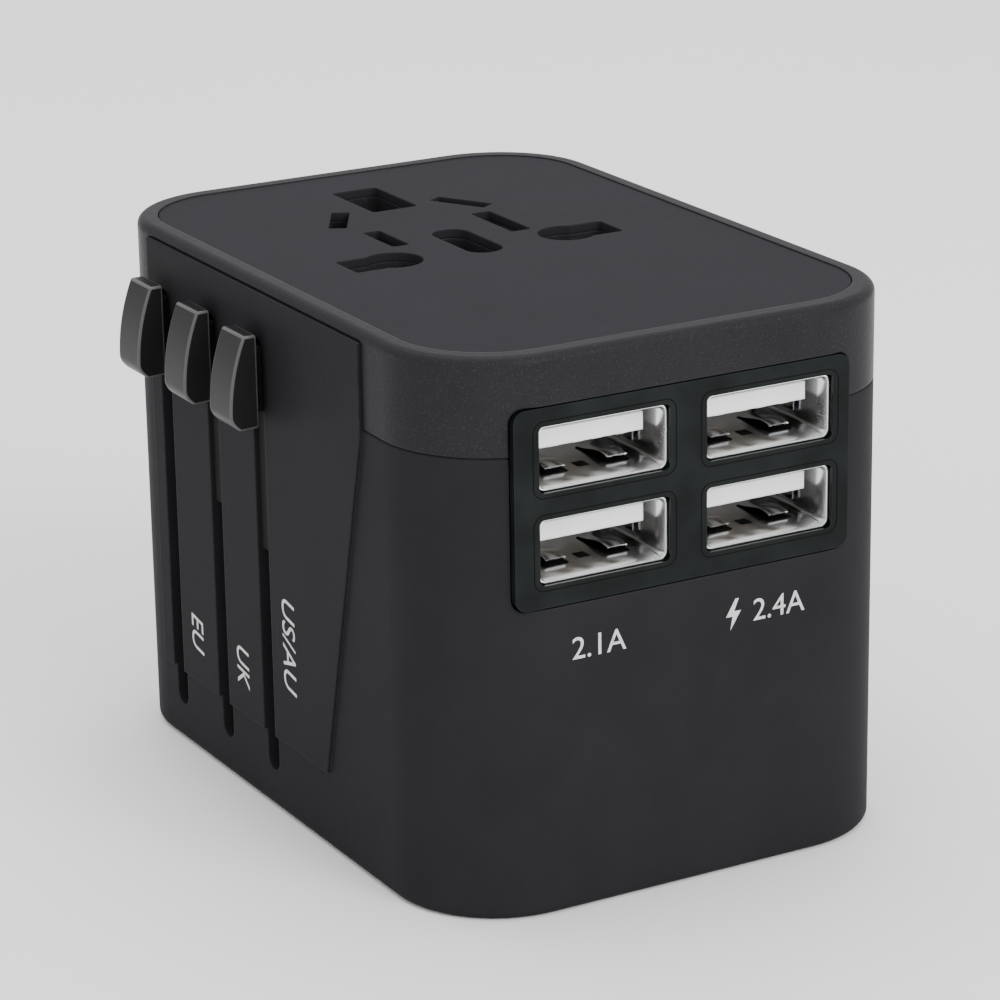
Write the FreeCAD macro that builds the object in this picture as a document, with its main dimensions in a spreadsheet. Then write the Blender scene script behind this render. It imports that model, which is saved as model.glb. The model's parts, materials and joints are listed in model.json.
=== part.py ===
"""Universal travel adapter, as a parametric FreeCAD document in millimetres.

+X is right and +Y is back when the USB ports face the reader, +Z is up, and the origin is the
centre of the bottom face. Three thumb sliders on the left push three sets of pins out of the
bottom. The driving dimensions are in the sheet "dims", and every sub-part is bound to them.
"""
import FreeCAD
import Part
import math
import os

import Sketcher

# The driving dimensions: name, value in millimetres or degrees, and what it measures.
SHEET = [
    ("body_width", 50.0, "casing, left to right"),
    ("body_depth", 71.0, "casing, front to back"),
    ("body_height", 53.0, "casing, bottom to top"),
    ("corner_radius", 10.75, "upright corners of the casing"),
    ("wall", 2.0, "side walls of the casing"),
    ("floor_thickness", 2.5, "bottom of the casing"),
    ("deck_thickness", 1.6, "deck of the cap, under the socket plate"),
    ("bottom_round", 0.8, "edge round the bottom"),
    ("top_round", 0.9, "edge round the top"),
    ("parting_height", 44.0, "where the cap meets the lower housing"),
    ("parting_groove", 0.25, "bevel on the housing, where it meets the cap"),
    ("gap", 0.15, "clearance between pieces that drop into each other"),
    ("panel_proud", 0.35, "the raised side panel, above the left wall"),
    ("panel_top", 52.0, "top edge of the raised panel"),
    ("panel_bottom", 7.9, "bottom edge of the raised panel"),
    ("panel_front", -20.5, "front edge of the raised panel, at its top"),
    ("panel_front_low", -11.9, "front edge of the raised panel, at its bottom"),
    ("panel_kink", 43.4, "height where the panel's front edge starts to slant"),
    ("panel_back", 24.3, "back edge of the raised panel"),
    ("plate_side", 23.1, "half width of the recess for the socket plate"),
    ("plate_front", 33.3, "half depth of the recess for the socket plate"),
    ("plate_radius", 8.9, "corners of the recess for the socket plate"),
    ("plate_recess", 1.0, "depth of the recess for the socket plate"),
    ("boss_x", 18.65, "screw bosses, from the centre"),
    ("boss_y", 29.15, "screw bosses, from the centre"),
    ("boss_radius", 3.3, "screw bosses"),
    ("bezel_left", -18.0, "left edge of the USB bezel"),
    ("bezel_right", 17.2, "right edge of the USB bezel"),
    ("bezel_low", 29.65, "bottom edge of the USB bezel"),
    ("bezel_high", 48.2, "top edge of the USB bezel"),
    ("bezel_radius", 1.2, "corners of the USB bezel"),
    ("bezel_thickness", 2.2, "USB bezel, front to back"),
    ("port_left", -8.7, "left column of USB ports"),
    ("port_right", 8.65, "right column of USB ports"),
    ("port_low", 34.8, "lower row of USB ports"),
    ("port_high", 43.4, "upper row of USB ports"),
    ("port_width", 12.5, "opening of a USB port"),
    ("port_height", 5.12, "opening of a USB port"),
    ("port_metal", 0.3, "sheet of a USB shell"),
    ("port_front", 34.4, "front edge of a USB shell, in front of the centre"),
    ("port_back", 20.5, "back of a USB shell, in front of the centre"),
    ("socket_x", -1.1, "centre line of the sockets"),
    ("socket_y", 0.2, "row of the line and neutral holes"),
    ("pin_reach", 11.1, "British line and neutral pins, from their centre line"),
    ("earth_reach", 22.2, "British earth pin, from the line and neutral row"),
    ("pin_long", 6.35, "British line and neutral pins, width"),
    ("pin_thick", 4.0, "British pins, thickness"),
    ("earth_long", 8.0, "British earth pin, width"),
    ("round_reach", 9.5, "European round pins, from their centre line"),
    ("round_radius", 2.0, "European round pins"),
    ("round_core", 1.5, "European pins, radius inside their sleeves"),
    ("sleeve_start", 9.0, "sleeves, from the tip of a European pin"),
    ("collar_radius", 2.28, "collars that fill the floor's round holes when the pins are out"),
    ("collar_height", 2.9, "collars of the European pins"),
    ("flat_sleeve_start", 8.2, "sleeves, from the tip of a British line or neutral pin"),
    ("sleeve_wall", 0.6, "sleeves of the British pins"),
    ("blade_reach", 6.35, "American blades, from their centre line"),
    ("blade_long", 6.35, "American blades, width"),
    ("blade_thick", 1.5, "American blades, thickness"),
    ("blade_turn", 30.0, "turn from the American to the Australian layout, in degrees"),
    ("blade_row", -7.0, "row of the American blades"),
    ("pin_row", 4.0, "row of the British line and neutral pins"),
    ("round_row", 15.0, "row of the European round pins"),
    ("pin_hole_gap", 0.35, "clearance round each pin in the bottom"),
    ("turret_radius", 4.0, "turret that an American blade turns in"),
    ("turret_gap", 0.05, "clearance round a turret"),
    ("us_slot", 0.2, "American slider, along Y"),
    ("uk_slot", 10.3, "British slider, along Y"),
    ("eu_slot", 20.85, "European slider, along Y"),
    ("slot_width", 2.35, "slider slots"),
    ("slot_low", 3.95, "bottom end of the slider slots"),
    ("slot_high", 47.6, "top end of the slider slots"),
    ("us_travel", 21.8, "American slider"),
    ("uk_travel", 23.6, "British slider"),
    ("eu_travel", 22.0, "European slider"),
    ("us_blade_out", 17.0, "American blades, below the bottom when out"),
    ("uk_pin_out", 17.7, "British line and neutral pins, below the bottom when out"),
    ("uk_earth_out", 22.7, "British earth pin, below the bottom when out"),
    ("eu_pin_out", 19.0, "European pins, below the bottom when out"),
    ("carriage_low", 2.8, "underside of a carriage when its pins are out"),
    ("carriage_thickness", 4.5, "carriages"),
    ("link_start", -21.45, "inner face of a knob's foot"),
    ("link_tab", 9.0, "upright tab that a knob is screwed to"),
    ("knob_low", 39.4, "bottom of a thumb knob"),
    ("knob_high", 48.5, "top of a thumb knob"),
    ("knob_width", 4.6, "thumb knob, front to back"),
    ("knob_neck_top", 46.9, "top of a knob's neck"),
    ("knob_stand", 26.35, "inner face of a thumb knob, from the centre"),
    ("knob_crown", 29.3, "outermost point of a thumb knob, from the centre"),
    ("knob_thin", 27.65, "outer face of a thumb knob at its top, from the centre"),
    ("foot_width", 4.8, "foot of a knob, front to back"),
    ("block_low", 34.6, "underside of the socket block"),
    ("block_high", 48.4, "top of the socket block"),
    ("block_side", 16.1, "half width of the socket block"),
    ("block_front", -16.2, "front of the socket block"),
    ("block_back", 25.4, "back of the socket block"),
    ("cavity_floor", 36.0, "floor of the contact cavities"),
    ("contact_sheet", 0.5, "brass sheet of the socket contacts"),
    ("contact_high", 46.0, "top of the socket contacts"),
    ("bar_sheet", 0.8, "brass sheet of the bus bars"),
    ("bar_top", 34.5, "top of the bus bars"),
    ("bar_foot", 8.0, "bottom of the bus bars"),
    ("shutter_low", 48.6, "underside of the safety shutter"),
    ("shutter_high", 50.0, "top of the safety shutter"),
    ("shutter_reach", 15.5, "half width of the safety shutter"),
    ("board_thickness", 1.5, "circuit boards"),
    ("board_low", 6.0, "underside of the power board"),
    ("button_y", 12.0, "release button, along Y"),
    ("button_z", 38.0, "release button, above the bottom"),
    ("button_long", 10.0, "release button, front to back"),
    ("button_tall", 7.0, "release button, bottom to top"),
    ("button_proud", 0.6, "release button, above the right wall"),
]


class Size:
    """A length with its value and the sheet expression that gives it."""

    def __init__(self, value, text):
        self.value = value
        self.text = text

    def _join(self, other, sign, value):
        return Size(value, f"({self.text} {sign} {other.text})")

    def __add__(self, other):
        other = as_size(other)
        return self._join(other, "+", self.value + other.value)

    def __radd__(self, other):
        return as_size(other) + self

    def __sub__(self, other):
        other = as_size(other)
        return self._join(other, "-", self.value - other.value)

    def __rsub__(self, other):
        return as_size(other) - self

    def __mul__(self, other):
        other = as_size(other)
        return self._join(other, "*", self.value * other.value)

    def __rmul__(self, other):
        return as_size(other) * self

    def __truediv__(self, other):
        other = as_size(other)
        return self._join(other, "/", self.value / other.value)

    def __neg__(self):
        return as_size(0) - self


def as_size(number):
    """A Size as it is, and a plain number as a Size."""
    if isinstance(number, Size):
        return number
    return Size(float(number), f"{float(number):.6g}")


def cosine(angle):
    """The cosine of an angle cell, in degrees."""
    return Size(math.cos(math.radians(angle.value)), f"cos({angle.text} * 1 deg)")


def sine(angle):
    """The sine of an angle cell, in degrees."""
    return Size(math.sin(math.radians(angle.value)), f"sin({angle.text} * 1 deg)")


class Sizes:
    """The sheet's cells, each read as an attribute."""

    def __init__(self, sheet):
        for row, (name, value, meaning) in enumerate(SHEET, start=1):
            sheet.set(f"A{row}", name)
            sheet.set(f"B{row}", str(value))
            sheet.set(f"C{row}", meaning)
            sheet.setAlias(f"B{row}", name)
            setattr(self, name, Size(value, f"dims.{name}"))


doc = FreeCAD.newDocument("travel_adapter")
dims_sheet = doc.addObject("Spreadsheet::Sheet", "dims")
D = Sizes(dims_sheet)
doc.recompute()

subparts = []


def finish(solid, label):
    """Gives a finished sub-part its label, which names its file."""
    solid.Label = label
    subparts.append(solid)
    return solid


# ---------------------------------------------------------------------------- primitives

def bind(thing, path, size):
    """Binds one property to the sheet."""
    thing.setExpression(path, as_size(size).text)


def place(thing, point):
    """Binds the position of a sub-part to the sheet."""
    for letter, size in zip("xyz", point):
        bind(thing, f".Placement.Base.{letter}", size)


def box(name, low, high):
    """A box between two opposite corners."""
    solid = doc.addObject("Part::Box", name)
    for prop, start, end in zip(("Length", "Width", "Height"), low, high):
        bind(solid, prop, as_size(end) - start)
    place(solid, low)
    return solid


def rod(name, start, radius, length, axis="z"):
    """A cylinder from a centre point along +X, +Y or +Z."""
    solid = doc.addObject("Part::Cylinder", name)
    bind(solid, "Radius", radius)
    bind(solid, "Height", length)
    turns = {"x": ((0, 1, 0), 90), "y": ((1, 0, 0), -90), "z": ((0, 0, 1), 0)}
    direction, angle = turns[axis]
    solid.Placement = FreeCAD.Placement(
        FreeCAD.Vector(), FreeCAD.Rotation(FreeCAD.Vector(*direction), angle))
    place(solid, start)
    return solid


def fuse(name, shapes):
    """One solid from several that meet."""
    joined = doc.addObject("Part::MultiFuse", name)
    joined.Shapes = shapes
    joined.Refine = True
    return joined


def cut(name, base, tools):
    """A solid less one or more others."""
    result = doc.addObject("Part::Cut", name)
    result.Base = base
    result.Tool = tools[0] if len(tools) == 1 else fuse(name + "_tools", tools)
    result.Refine = True
    return result


def group(name, solids):
    """Separate solids that share a node."""
    together = doc.addObject("Part::Compound", name)
    together.Links = solids
    return together


# ------------------------------------------------------------------- sketches and bodies

def sketch_on(body, name, plane, offset):
    """A sketch on one of the body's own origin planes, moved along its normal."""
    sketch = body.newObject("Sketcher::SketchObject", name)
    support = next(f for f in body.Origin.OriginFeatures if f.Role == plane)
    sketch.AttachmentSupport = [(support, "")]
    sketch.MapMode = "FlatFace"
    bind(sketch, ".AttachmentOffset.Base.z", offset)
    return sketch


def datum(sketch, kind, refs, size):
    """A dimension in a sketch, bound to the sheet."""
    size = as_size(size)
    index = sketch.addConstraint(Sketcher.Constraint(kind, *refs, size.value))
    bind(sketch, f"Constraints[{index}]", size)


def draw_polygon(sketch, corners):
    """A closed outline of straight lines, every corner bound to the sheet."""
    corners = [(as_size(u), as_size(v)) for u, v in corners]
    spots = [FreeCAD.Vector(u.value, v.value, 0) for u, v in corners]
    lines = []
    for start, end in zip(spots, spots[1:] + spots[:1]):
        lines.append(sketch.addGeometry(Part.LineSegment(start, end), False))
    for line, following in zip(lines, lines[1:] + lines[:1]):
        sketch.addConstraint(Sketcher.Constraint("Coincident", line, 2, following, 1))
    for line, (u, v) in zip(lines, corners):
        datum(sketch, "DistanceX", (-1, 1, line, 1), u)
        datum(sketch, "DistanceY", (-1, 1, line, 1), v)


def draw_rounded(sketch, low, high, radius):
    """A rectangle with round corners, its sides and radius bound to the sheet."""
    (left, bottom), (right, top) = low, high
    left, bottom, right, top = (as_size(side) for side in (left, bottom, right, top))
    radius = as_size(radius)
    r = radius.value
    x0, y0, x1, y1 = left.value, bottom.value, right.value, top.value
    ends = [((x0 + r, y0), (x1 - r, y0)), ((x1, y0 + r), (x1, y1 - r)),
            ((x1 - r, y1), (x0 + r, y1)), ((x0, y1 - r), (x0, y0 + r))]
    centres = [(x1 - r, y0 + r), (x1 - r, y1 - r), (x0 + r, y1 - r), (x0 + r, y0 + r)]
    lines, arcs = [], []
    for side, (start, end) in enumerate(ends):
        segment = Part.LineSegment(FreeCAD.Vector(*start, 0), FreeCAD.Vector(*end, 0))
        lines.append(sketch.addGeometry(segment, False))
        circle = Part.Circle(FreeCAD.Vector(*centres[side], 0), FreeCAD.Vector(0, 0, 1), r)
        begin = math.radians(90 * (side - 1))
        arcs.append(sketch.addGeometry(Part.ArcOfCircle(circle, begin, begin + math.pi / 2), False))
    for side in range(4):
        sketch.addConstraint(Sketcher.Constraint("Tangent", lines[side], 2, arcs[side], 1))
        sketch.addConstraint(Sketcher.Constraint("Tangent", arcs[side], 2, lines[(side + 1) % 4], 1))
        flat = "Horizontal" if side % 2 == 0 else "Vertical"
        sketch.addConstraint(Sketcher.Constraint(flat, lines[side]))
    for arc in arcs[1:]:
        sketch.addConstraint(Sketcher.Constraint("Equal", arcs[0], arc))
    datum(sketch, "Radius", (arcs[0],), radius)
    datum(sketch, "DistanceX", (-1, 1, lines[3], 1), left)
    datum(sketch, "DistanceX", (-1, 1, lines[1], 1), right)
    datum(sketch, "DistanceY", (-1, 1, lines[0], 1), bottom)
    datum(sketch, "DistanceY", (-1, 1, lines[2], 1), top)


def draw_circle(sketch, centre, radius):
    """A circle, its centre and radius bound to the sheet."""
    u, v, radius = (as_size(size) for size in (*centre, radius))
    ring = Part.Circle(FreeCAD.Vector(u.value, v.value, 0), FreeCAD.Vector(0, 0, 1), radius.value)
    index = sketch.addGeometry(ring, False)
    datum(sketch, "Radius", (index,), radius)
    datum(sketch, "DistanceX", (-1, 1, index, 3), u)
    datum(sketch, "DistanceY", (-1, 1, index, 3), v)


def pad(body, sketch, length, midplane=False):
    """Material from a sketch along its normal."""
    feature = body.newObject("PartDesign::Pad", sketch.Name + "_pad")
    feature.Profile = sketch
    feature.Midplane = midplane
    bind(feature, "Length", length)
    return feature


def pocket(body, sketch, depth):
    """A cut from a sketch against its normal, which has to take material away."""
    doc.recompute()
    before = body.Shape.Volume
    feature = body.newObject("PartDesign::Pocket", sketch.Name + "_pocket")
    feature.Profile = sketch
    bind(feature, "Length", depth)
    doc.recompute()
    if body.Shape.Volume >= before:
        raise RuntimeError(f"{feature.Name} cuts nothing")
    return feature


def round_edges(body, feature, radius, chosen):
    """A fillet on the edges of the last feature that pass a test."""
    doc.recompute()
    names = [f"Edge{i}" for i, edge in enumerate(feature.Shape.Edges, start=1) if chosen(edge)]
    fillet = body.newObject("PartDesign::Fillet", feature.Name + "_round")
    fillet.Base = (feature, names)
    bind(fillet, "Radius", radius)
    return fillet


def chamfer_edges(body, feature, size, chosen):
    """A chamfer on the edges of the last feature that pass a test."""
    doc.recompute()
    names = [f"Edge{i}" for i, edge in enumerate(feature.Shape.Edges, start=1) if chosen(edge)]
    chamfer = body.newObject("PartDesign::Chamfer", feature.Name + "_chamfer")
    chamfer.Base = (feature, names)
    bind(chamfer, "Size", size)
    return chamfer


def at_height(height):
    """A test for edges that lie flat at one height."""
    return lambda edge: all(abs(v.Z - height.value) < 1e-4 for v in edge.Vertexes)


def new_body(label):
    """A PartDesign body that becomes a sub-part."""
    body = doc.addObject("PartDesign::Body", label)
    return finish(body, label)


# --------------------------------------------------------------------------- the casing

HALF_WIDTH = D.body_width / 2
HALF_DEPTH = D.body_depth / 2
INNER_X = HALF_WIDTH - D.wall
BOSSES = [(sx * D.boss_x, sy * D.boss_y) for sx in (-1, 1) for sy in (-1, 1)]
SLOTS = {"us": D.us_slot, "uk": D.uk_slot, "eu": D.eu_slot}
TRAVELS = {"us": D.us_travel, "uk": D.uk_travel, "eu": D.eu_travel}
PORTS = {
    "upper_left": (D.port_left, D.port_high), "upper_right": (D.port_right, D.port_high),
    "lower_left": (D.port_left, D.port_low), "lower_right": (D.port_right, D.port_low),
}


def casing_block(body, low, high):
    """The rounded block that both halves of the casing are cut from."""
    outline = sketch_on(body, body.Label + "_outline", "XY_Plane", low)
    draw_rounded(outline, (-HALF_WIDTH, -HALF_DEPTH), (HALF_WIDTH, HALF_DEPTH), D.corner_radius)
    return pad(body, outline, high - low)


def casing_cavity(body, top, depth):
    """The hollow inside the walls, from a height downwards."""
    hollow = sketch_on(body, body.Label + "_cavity", "XY_Plane", top)
    inner_y = HALF_DEPTH - D.wall
    draw_rounded(hollow, (-INNER_X, -inner_y), (INNER_X, inner_y), D.corner_radius - D.wall)
    pocket(body, hollow, depth)


def bezel_window(body):
    """The opening in the front wall that the USB bezel sits in."""
    window = sketch_on(body, body.Label + "_window", "XZ_Plane", HALF_DEPTH + 1)
    draw_rounded(window, (D.bezel_left - D.gap, D.bezel_low - D.gap),
                 (D.bezel_right + D.gap, D.bezel_high + D.gap), D.bezel_radius + D.gap)
    pocket(body, window, D.wall + 2)


def round_columns(body, name, low, length, spots, radius):
    """Upright round columns."""
    sketch = sketch_on(body, name, "XY_Plane", low)
    for spot in spots:
        draw_circle(sketch, spot, radius)
    pad(body, sketch, length)


def round_holes(body, name, top, depth, spots, radius):
    """Round holes cut downwards from a height."""
    sketch = sketch_on(body, name, "XY_Plane", top)
    for spot in spots:
        draw_circle(sketch, spot, radius)
    pocket(body, sketch, depth)


def turned_corners(centre, half_long, half_thick, angle):
    """The corners of a rectangle whose long side is turned from +Y by an angle cell."""
    c, k = cosine(angle), sine(angle)
    corners = []
    for thick, long in ((-1, -1), (1, -1), (1, 1), (-1, 1)):
        across, along = thick * half_thick, long * half_long
        corners.append((centre[0] + across * c - along * k, centre[1] + across * k + along * c))
    return corners


def lower_housing():
    """The tub: floor with pin holes, side walls, raised slider panel and screw bosses."""
    body = new_body("lower_housing")
    block = casing_block(body, as_size(0), D.parting_height)
    rounded = round_edges(body, block, D.bottom_round, at_height(as_size(0)))
    chamfer_edges(body, rounded, D.parting_groove, at_height(D.parting_height))
    casing_cavity(body, D.parting_height, D.parting_height - D.floor_thickness)
    panel = sketch_on(body, "side_panel", "YZ_Plane", -HALF_WIDTH - D.panel_proud)
    draw_polygon(panel, [
        (D.panel_front, D.panel_top), (D.panel_front, D.panel_kink),
        (D.panel_front_low, D.panel_bottom), (D.panel_back, D.panel_bottom),
        (D.panel_back, D.panel_top)])
    pad(body, panel, D.wall + D.panel_proud)
    round_columns(body, "housing_bosses", D.floor_thickness,
                  D.parting_height - D.floor_thickness, BOSSES, D.boss_radius)
    posts = [(x, y) for x in (-12.5, 12.5) for y in (-30.5, -18.0)]
    round_columns(body, "board_posts", D.floor_thickness, D.board_low - D.floor_thickness, posts, 1.6)
    round_holes(body, "head_wells", as_size(34), as_size(35), BOSSES, 2.3)
    round_holes(body, "shank_holes", D.parting_height, as_size(11), BOSSES, 1.3)
    slots = sketch_on(body, "slider_slots", "YZ_Plane", -INNER_X + 0.5)
    for centre in SLOTS.values():
        draw_rounded(slots, (centre - D.slot_width / 2, D.slot_low),
                     (centre + D.slot_width / 2, D.slot_high), D.slot_width * 0.48)
    pocket(body, slots, D.wall + 2)
    bezel_window(body)
    button = sketch_on(body, "button_hole", "YZ_Plane", HALF_WIDTH + 1)
    half_long, half_tall = D.button_long / 2 + D.gap, D.button_tall / 2 + D.gap
    draw_rounded(button, (D.button_y - half_long, D.button_z - half_tall),
                 (D.button_y + half_long, D.button_z + half_tall), half_tall - 0.05)
    pocket(body, button, D.wall + 2)
    pin_holes(body)


def pin_holes(body):
    """The holes in the floor that the pins come out of."""
    through = D.floor_thickness + 1
    flat = sketch_on(body, "flat_pin_holes", "XY_Plane", D.floor_thickness)
    half_long, half_thick = D.pin_long / 2 + D.pin_hole_gap, D.pin_thick / 2 + D.pin_hole_gap
    for side in (-1, 1):
        centre = side * D.pin_reach
        draw_rounded(flat, (centre - half_long, D.pin_row - half_thick),
                     (centre + half_long, D.pin_row + half_thick), 0.4)
    earth_row, half_earth = D.pin_row + D.earth_reach, D.earth_long / 2 + D.pin_hole_gap
    draw_rounded(flat, (-half_thick, earth_row - half_earth), (half_thick, earth_row + half_earth), 0.4)
    pocket(body, flat, through)
    rounds = [(side * D.round_reach, D.round_row) for side in (-1, 1)]
    round_holes(body, "round_pin_holes", D.floor_thickness, through, rounds,
                D.round_radius + D.pin_hole_gap)
    for turn_name, angle in (("parallel", as_size(0)), ("turned", D.blade_turn)):
        sketch = sketch_on(body, f"{turn_name}_blade_holes", "XY_Plane", D.floor_thickness)
        for side in (-1, 1):
            corners = turned_corners((side * D.blade_reach, D.blade_row),
                                     D.blade_long / 2 + D.pin_hole_gap,
                                     D.blade_thick / 2 + D.pin_hole_gap, side * angle)
            draw_polygon(sketch, corners)
        pocket(body, sketch, through)


def socket_holes(body, top, depth):
    """The openings that foreign plugs go into, cut downwards from a height."""
    x0, y0 = D.socket_x, D.socket_y
    sketch = sketch_on(body, body.Label + "_openings", "XY_Plane", top)
    earth = y0 + D.earth_reach - 0.2
    draw_rounded(sketch, (x0 - 2.5, earth - 4.6), (x0 + 2.5, earth + 4.6), 0.5)
    draw_rounded(sketch, (x0 - 2.0, y0 - 2.4), (x0 + 1.8, y0 + 7.55), 1.85)
    draw_rounded(sketch, (x0 - 7.25, y0 + 4.4), (x0 - 5.4, y0 + 10.7), 0.3)
    draw_rounded(sketch, (x0 + 5.3, y0 + 3.3), (x0 + 7.45, y0 + 11.7), 0.3)
    for side in (-1, 1):
        outer, inner = x0 + side * 14.6, x0 + side * D.round_reach
        draw_rounded(sketch, (outer if side < 0 else inner, y0 - 2.28),
                     (inner if side < 0 else outer, y0 + 2.28), 0.35)
        draw_polygon(sketch, turned_corners((x0 + side * 6.86, y0 + 16.4), 3.15, 0.9,
                                            side * D.blade_turn))
    pocket(body, sketch, depth)
    rounds = [(x0 + side * D.round_reach, y0) for side in (-1, 1)]
    round_holes(body, body.Label + "_round_openings", top, depth, rounds, 2.85)


def top_cap():
    """The cap: rim, recess for the socket plate, deck with openings and screw bosses."""
    body = new_body("top_cap")
    block = casing_block(body, D.parting_height, D.body_height)
    round_edges(body, block, D.top_round, at_height(D.body_height))
    deck_top = D.body_height - D.plate_recess
    deck_low = deck_top - D.deck_thickness
    casing_cavity(body, deck_low, deck_low - D.parting_height + 1)
    recess = sketch_on(body, "plate_recess_outline", "XY_Plane", D.body_height)
    draw_rounded(recess, (-D.plate_side, -D.plate_front), (D.plate_side, D.plate_front), D.plate_radius)
    pocket(body, recess, D.plate_recess)
    round_columns(body, "cap_bosses", D.parting_height, deck_low - D.parting_height, BOSSES,
                  D.boss_radius)
    round_columns(body, "block_bosses", D.block_high, deck_low - D.block_high, BLOCK_SCREWS, 2.2)
    round_holes(body, "cap_screw_holes", deck_low - 0.4, deck_low - 0.4 - D.parting_height, BOSSES, 1.25)
    round_holes(body, "block_screw_holes", deck_low - 0.1, deck_low - 0.1 - D.block_high,
                BLOCK_SCREWS, 1.1)
    socket_holes(body, deck_top, D.deck_thickness + 1)
    notch = sketch_on(body, "panel_notch", "YZ_Plane", -INNER_X + 0.05)
    draw_rounded(notch, (D.panel_front - D.gap, D.parting_height - 1),
                 (D.panel_back + D.gap, D.panel_top + D.gap), 0.3)
    pocket(body, notch, D.wall + 2)
    bezel_window(body)


def socket_plate():
    """The thin plate with the socket openings that closes the top."""
    body = new_body("socket_plate")
    outline = sketch_on(body, "socket_plate_outline", "XY_Plane", D.body_height - D.plate_recess)
    half_x, half_y = D.plate_side - 0.1, D.plate_front - 0.1
    draw_rounded(outline, (-half_x, -half_y), (half_x, half_y), D.plate_radius - 0.1)
    pad(body, outline, D.plate_recess - 0.1)
    socket_holes(body, D.body_height, D.plate_recess + 0.5)


def usb_bezel():
    """The translucent frame round the four USB ports."""
    body = new_body("usb_bezel")
    front = HALF_DEPTH - 0.05
    outline = sketch_on(body, "bezel_outline", "XZ_Plane", front - D.bezel_thickness)
    draw_rounded(outline, (D.bezel_left, D.bezel_low), (D.bezel_right, D.bezel_high), D.bezel_radius)
    pad(body, outline, D.bezel_thickness)
    windows = sketch_on(body, "port_windows", "XZ_Plane", front)
    half_x, half_z = D.port_width / 2 + D.port_metal + 0.2, D.port_height / 2 + D.port_metal + 0.2
    for x, z in PORTS.values():
        draw_rounded(windows, (x - half_x, z - half_z), (x + half_x, z + half_z), 0.5)
    pocket(body, windows, D.bezel_thickness + 0.5)


# ------------------------------------------------------------------------- the USB ports

def usb_shell(name, x, z):
    """A drawn sheet-metal shell, open at the front."""
    body = new_body(f"usb_shell_{name}")
    half_x, half_z = D.port_width / 2, D.port_height / 2
    outside = sketch_on(body, f"shell_outside_{name}", "XZ_Plane", D.port_back)
    rim = D.port_metal
    draw_rounded(outside, (x - half_x - rim, z - half_z - rim), (x + half_x + rim, z + half_z + rim), 0.7)
    pad(body, outside, D.port_front - D.port_back)
    inside = sketch_on(body, f"shell_inside_{name}", "XZ_Plane", D.port_front)
    draw_rounded(inside, (x - half_x, z - half_z), (x + half_x, z + half_z), 0.4)
    pocket(body, inside, D.port_front - D.port_back - rim)


def usb_tongue(name, x, z):
    """The insulating tongue, with the block that holds it at the back of a shell."""
    back = -D.port_back - D.port_metal
    root = back - 2.2
    block = box(f"tongue_root_{name}", (x - 5.9, root, z - 2.46), (x + 5.9, back, z + 2.46))
    tongue = box(f"tongue_blade_{name}", (x - 5.42, -D.port_front + 1.5, z + 0.25),
                 (x + 5.42, root, z + 1.95))
    finish(fuse(f"usb_tongue_{name}", [block, tongue]), f"usb_tongue_{name}")


def usb_contacts():
    """Four gold-plated strips under each tongue."""
    strips = []
    for name, (x, z) in PORTS.items():
        for lane, shift in enumerate((-3.5, -1.0, 1.0, 3.5)):
            strips.append(box(f"strip_{name}_{lane}", (x + shift - 0.5, -D.port_front + 2.1, z),
                              (x + shift + 0.5, -D.port_back - D.port_metal - 2.2, z + 0.25)))
    finish(group("usb_contacts", strips), "usb_contacts")


# ----------------------------------------------------------------------- the electronics

BOARD_TOP = D.board_low + D.board_thickness
PORT_BOARD_FRONT = -D.port_back + 0.1


def circuit_boards():
    """The power board on its posts, and the port board that stands on it."""
    finish(box("power_board", (-15, -32.6, D.board_low), (15, -16.4, BOARD_TOP)), "power_board")
    finish(box("port_board", (-16.5, PORT_BOARD_FRONT, BOARD_TOP),
               (16.5, PORT_BOARD_FRONT + D.board_thickness, 47.5)), "port_board")


def transformer():
    """A ferrite core of three legs, with a winding round the middle one."""
    x, y = as_size(-7), as_size(-26)
    core = box("core_block", (x - 7, y - 4, BOARD_TOP), (x + 7, y + 4, BOARD_TOP + 12))
    windows = [box(f"core_window_{i}", (x + start, y - 5, BOARD_TOP + 2), (x + end, y + 5, BOARD_TOP + 10))
               for i, (start, end) in enumerate(((-5, -2), (2, 5)))]
    finish(cut("transformer_core", core, windows), "transformer_core")
    coil = box("coil_block", (x - 4.9, y - 5.2, BOARD_TOP + 2.1), (x + 4.9, y + 5.2, BOARD_TOP + 9.9))
    bore = box("coil_bore", (x - 2.05, y - 4.05, BOARD_TOP), (x + 2.05, y + 4.05, BOARD_TOP + 12))
    finish(cut("transformer_winding", coil, [bore]), "transformer_winding")


def board_components():
    """The capacitors on the power board and the chips behind the port board."""
    cans = [(9.5, -28.2, 4.0, 14.0), (3.0, -29.5, 2.3, 9.0), (3.0, -23.5, 2.3, 9.0),
            (12.0, -22.3, 1.7, 6.0), (7.9, -22.5, 1.7, 6.0)]
    cylinders = [rod(f"capacitor_{i}", (x, y, BOARD_TOP), radius, height)
                 for i, (x, y, radius, height) in enumerate(cans)]
    finish(group("capacitors", cylinders), "capacitors")
    back = PORT_BOARD_FRONT + D.board_thickness
    chips = [box(f"chip_{i}", (x - 2.5, back, z - 2.5), (x + 2.5, back + 1.5, z + 2.5))
             for i, (x, z) in enumerate(((-9, 28), (0, 28), (9, 28), (-5, 40), (5, 40)))]
    finish(group("power_chips", chips), "power_chips")


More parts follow.
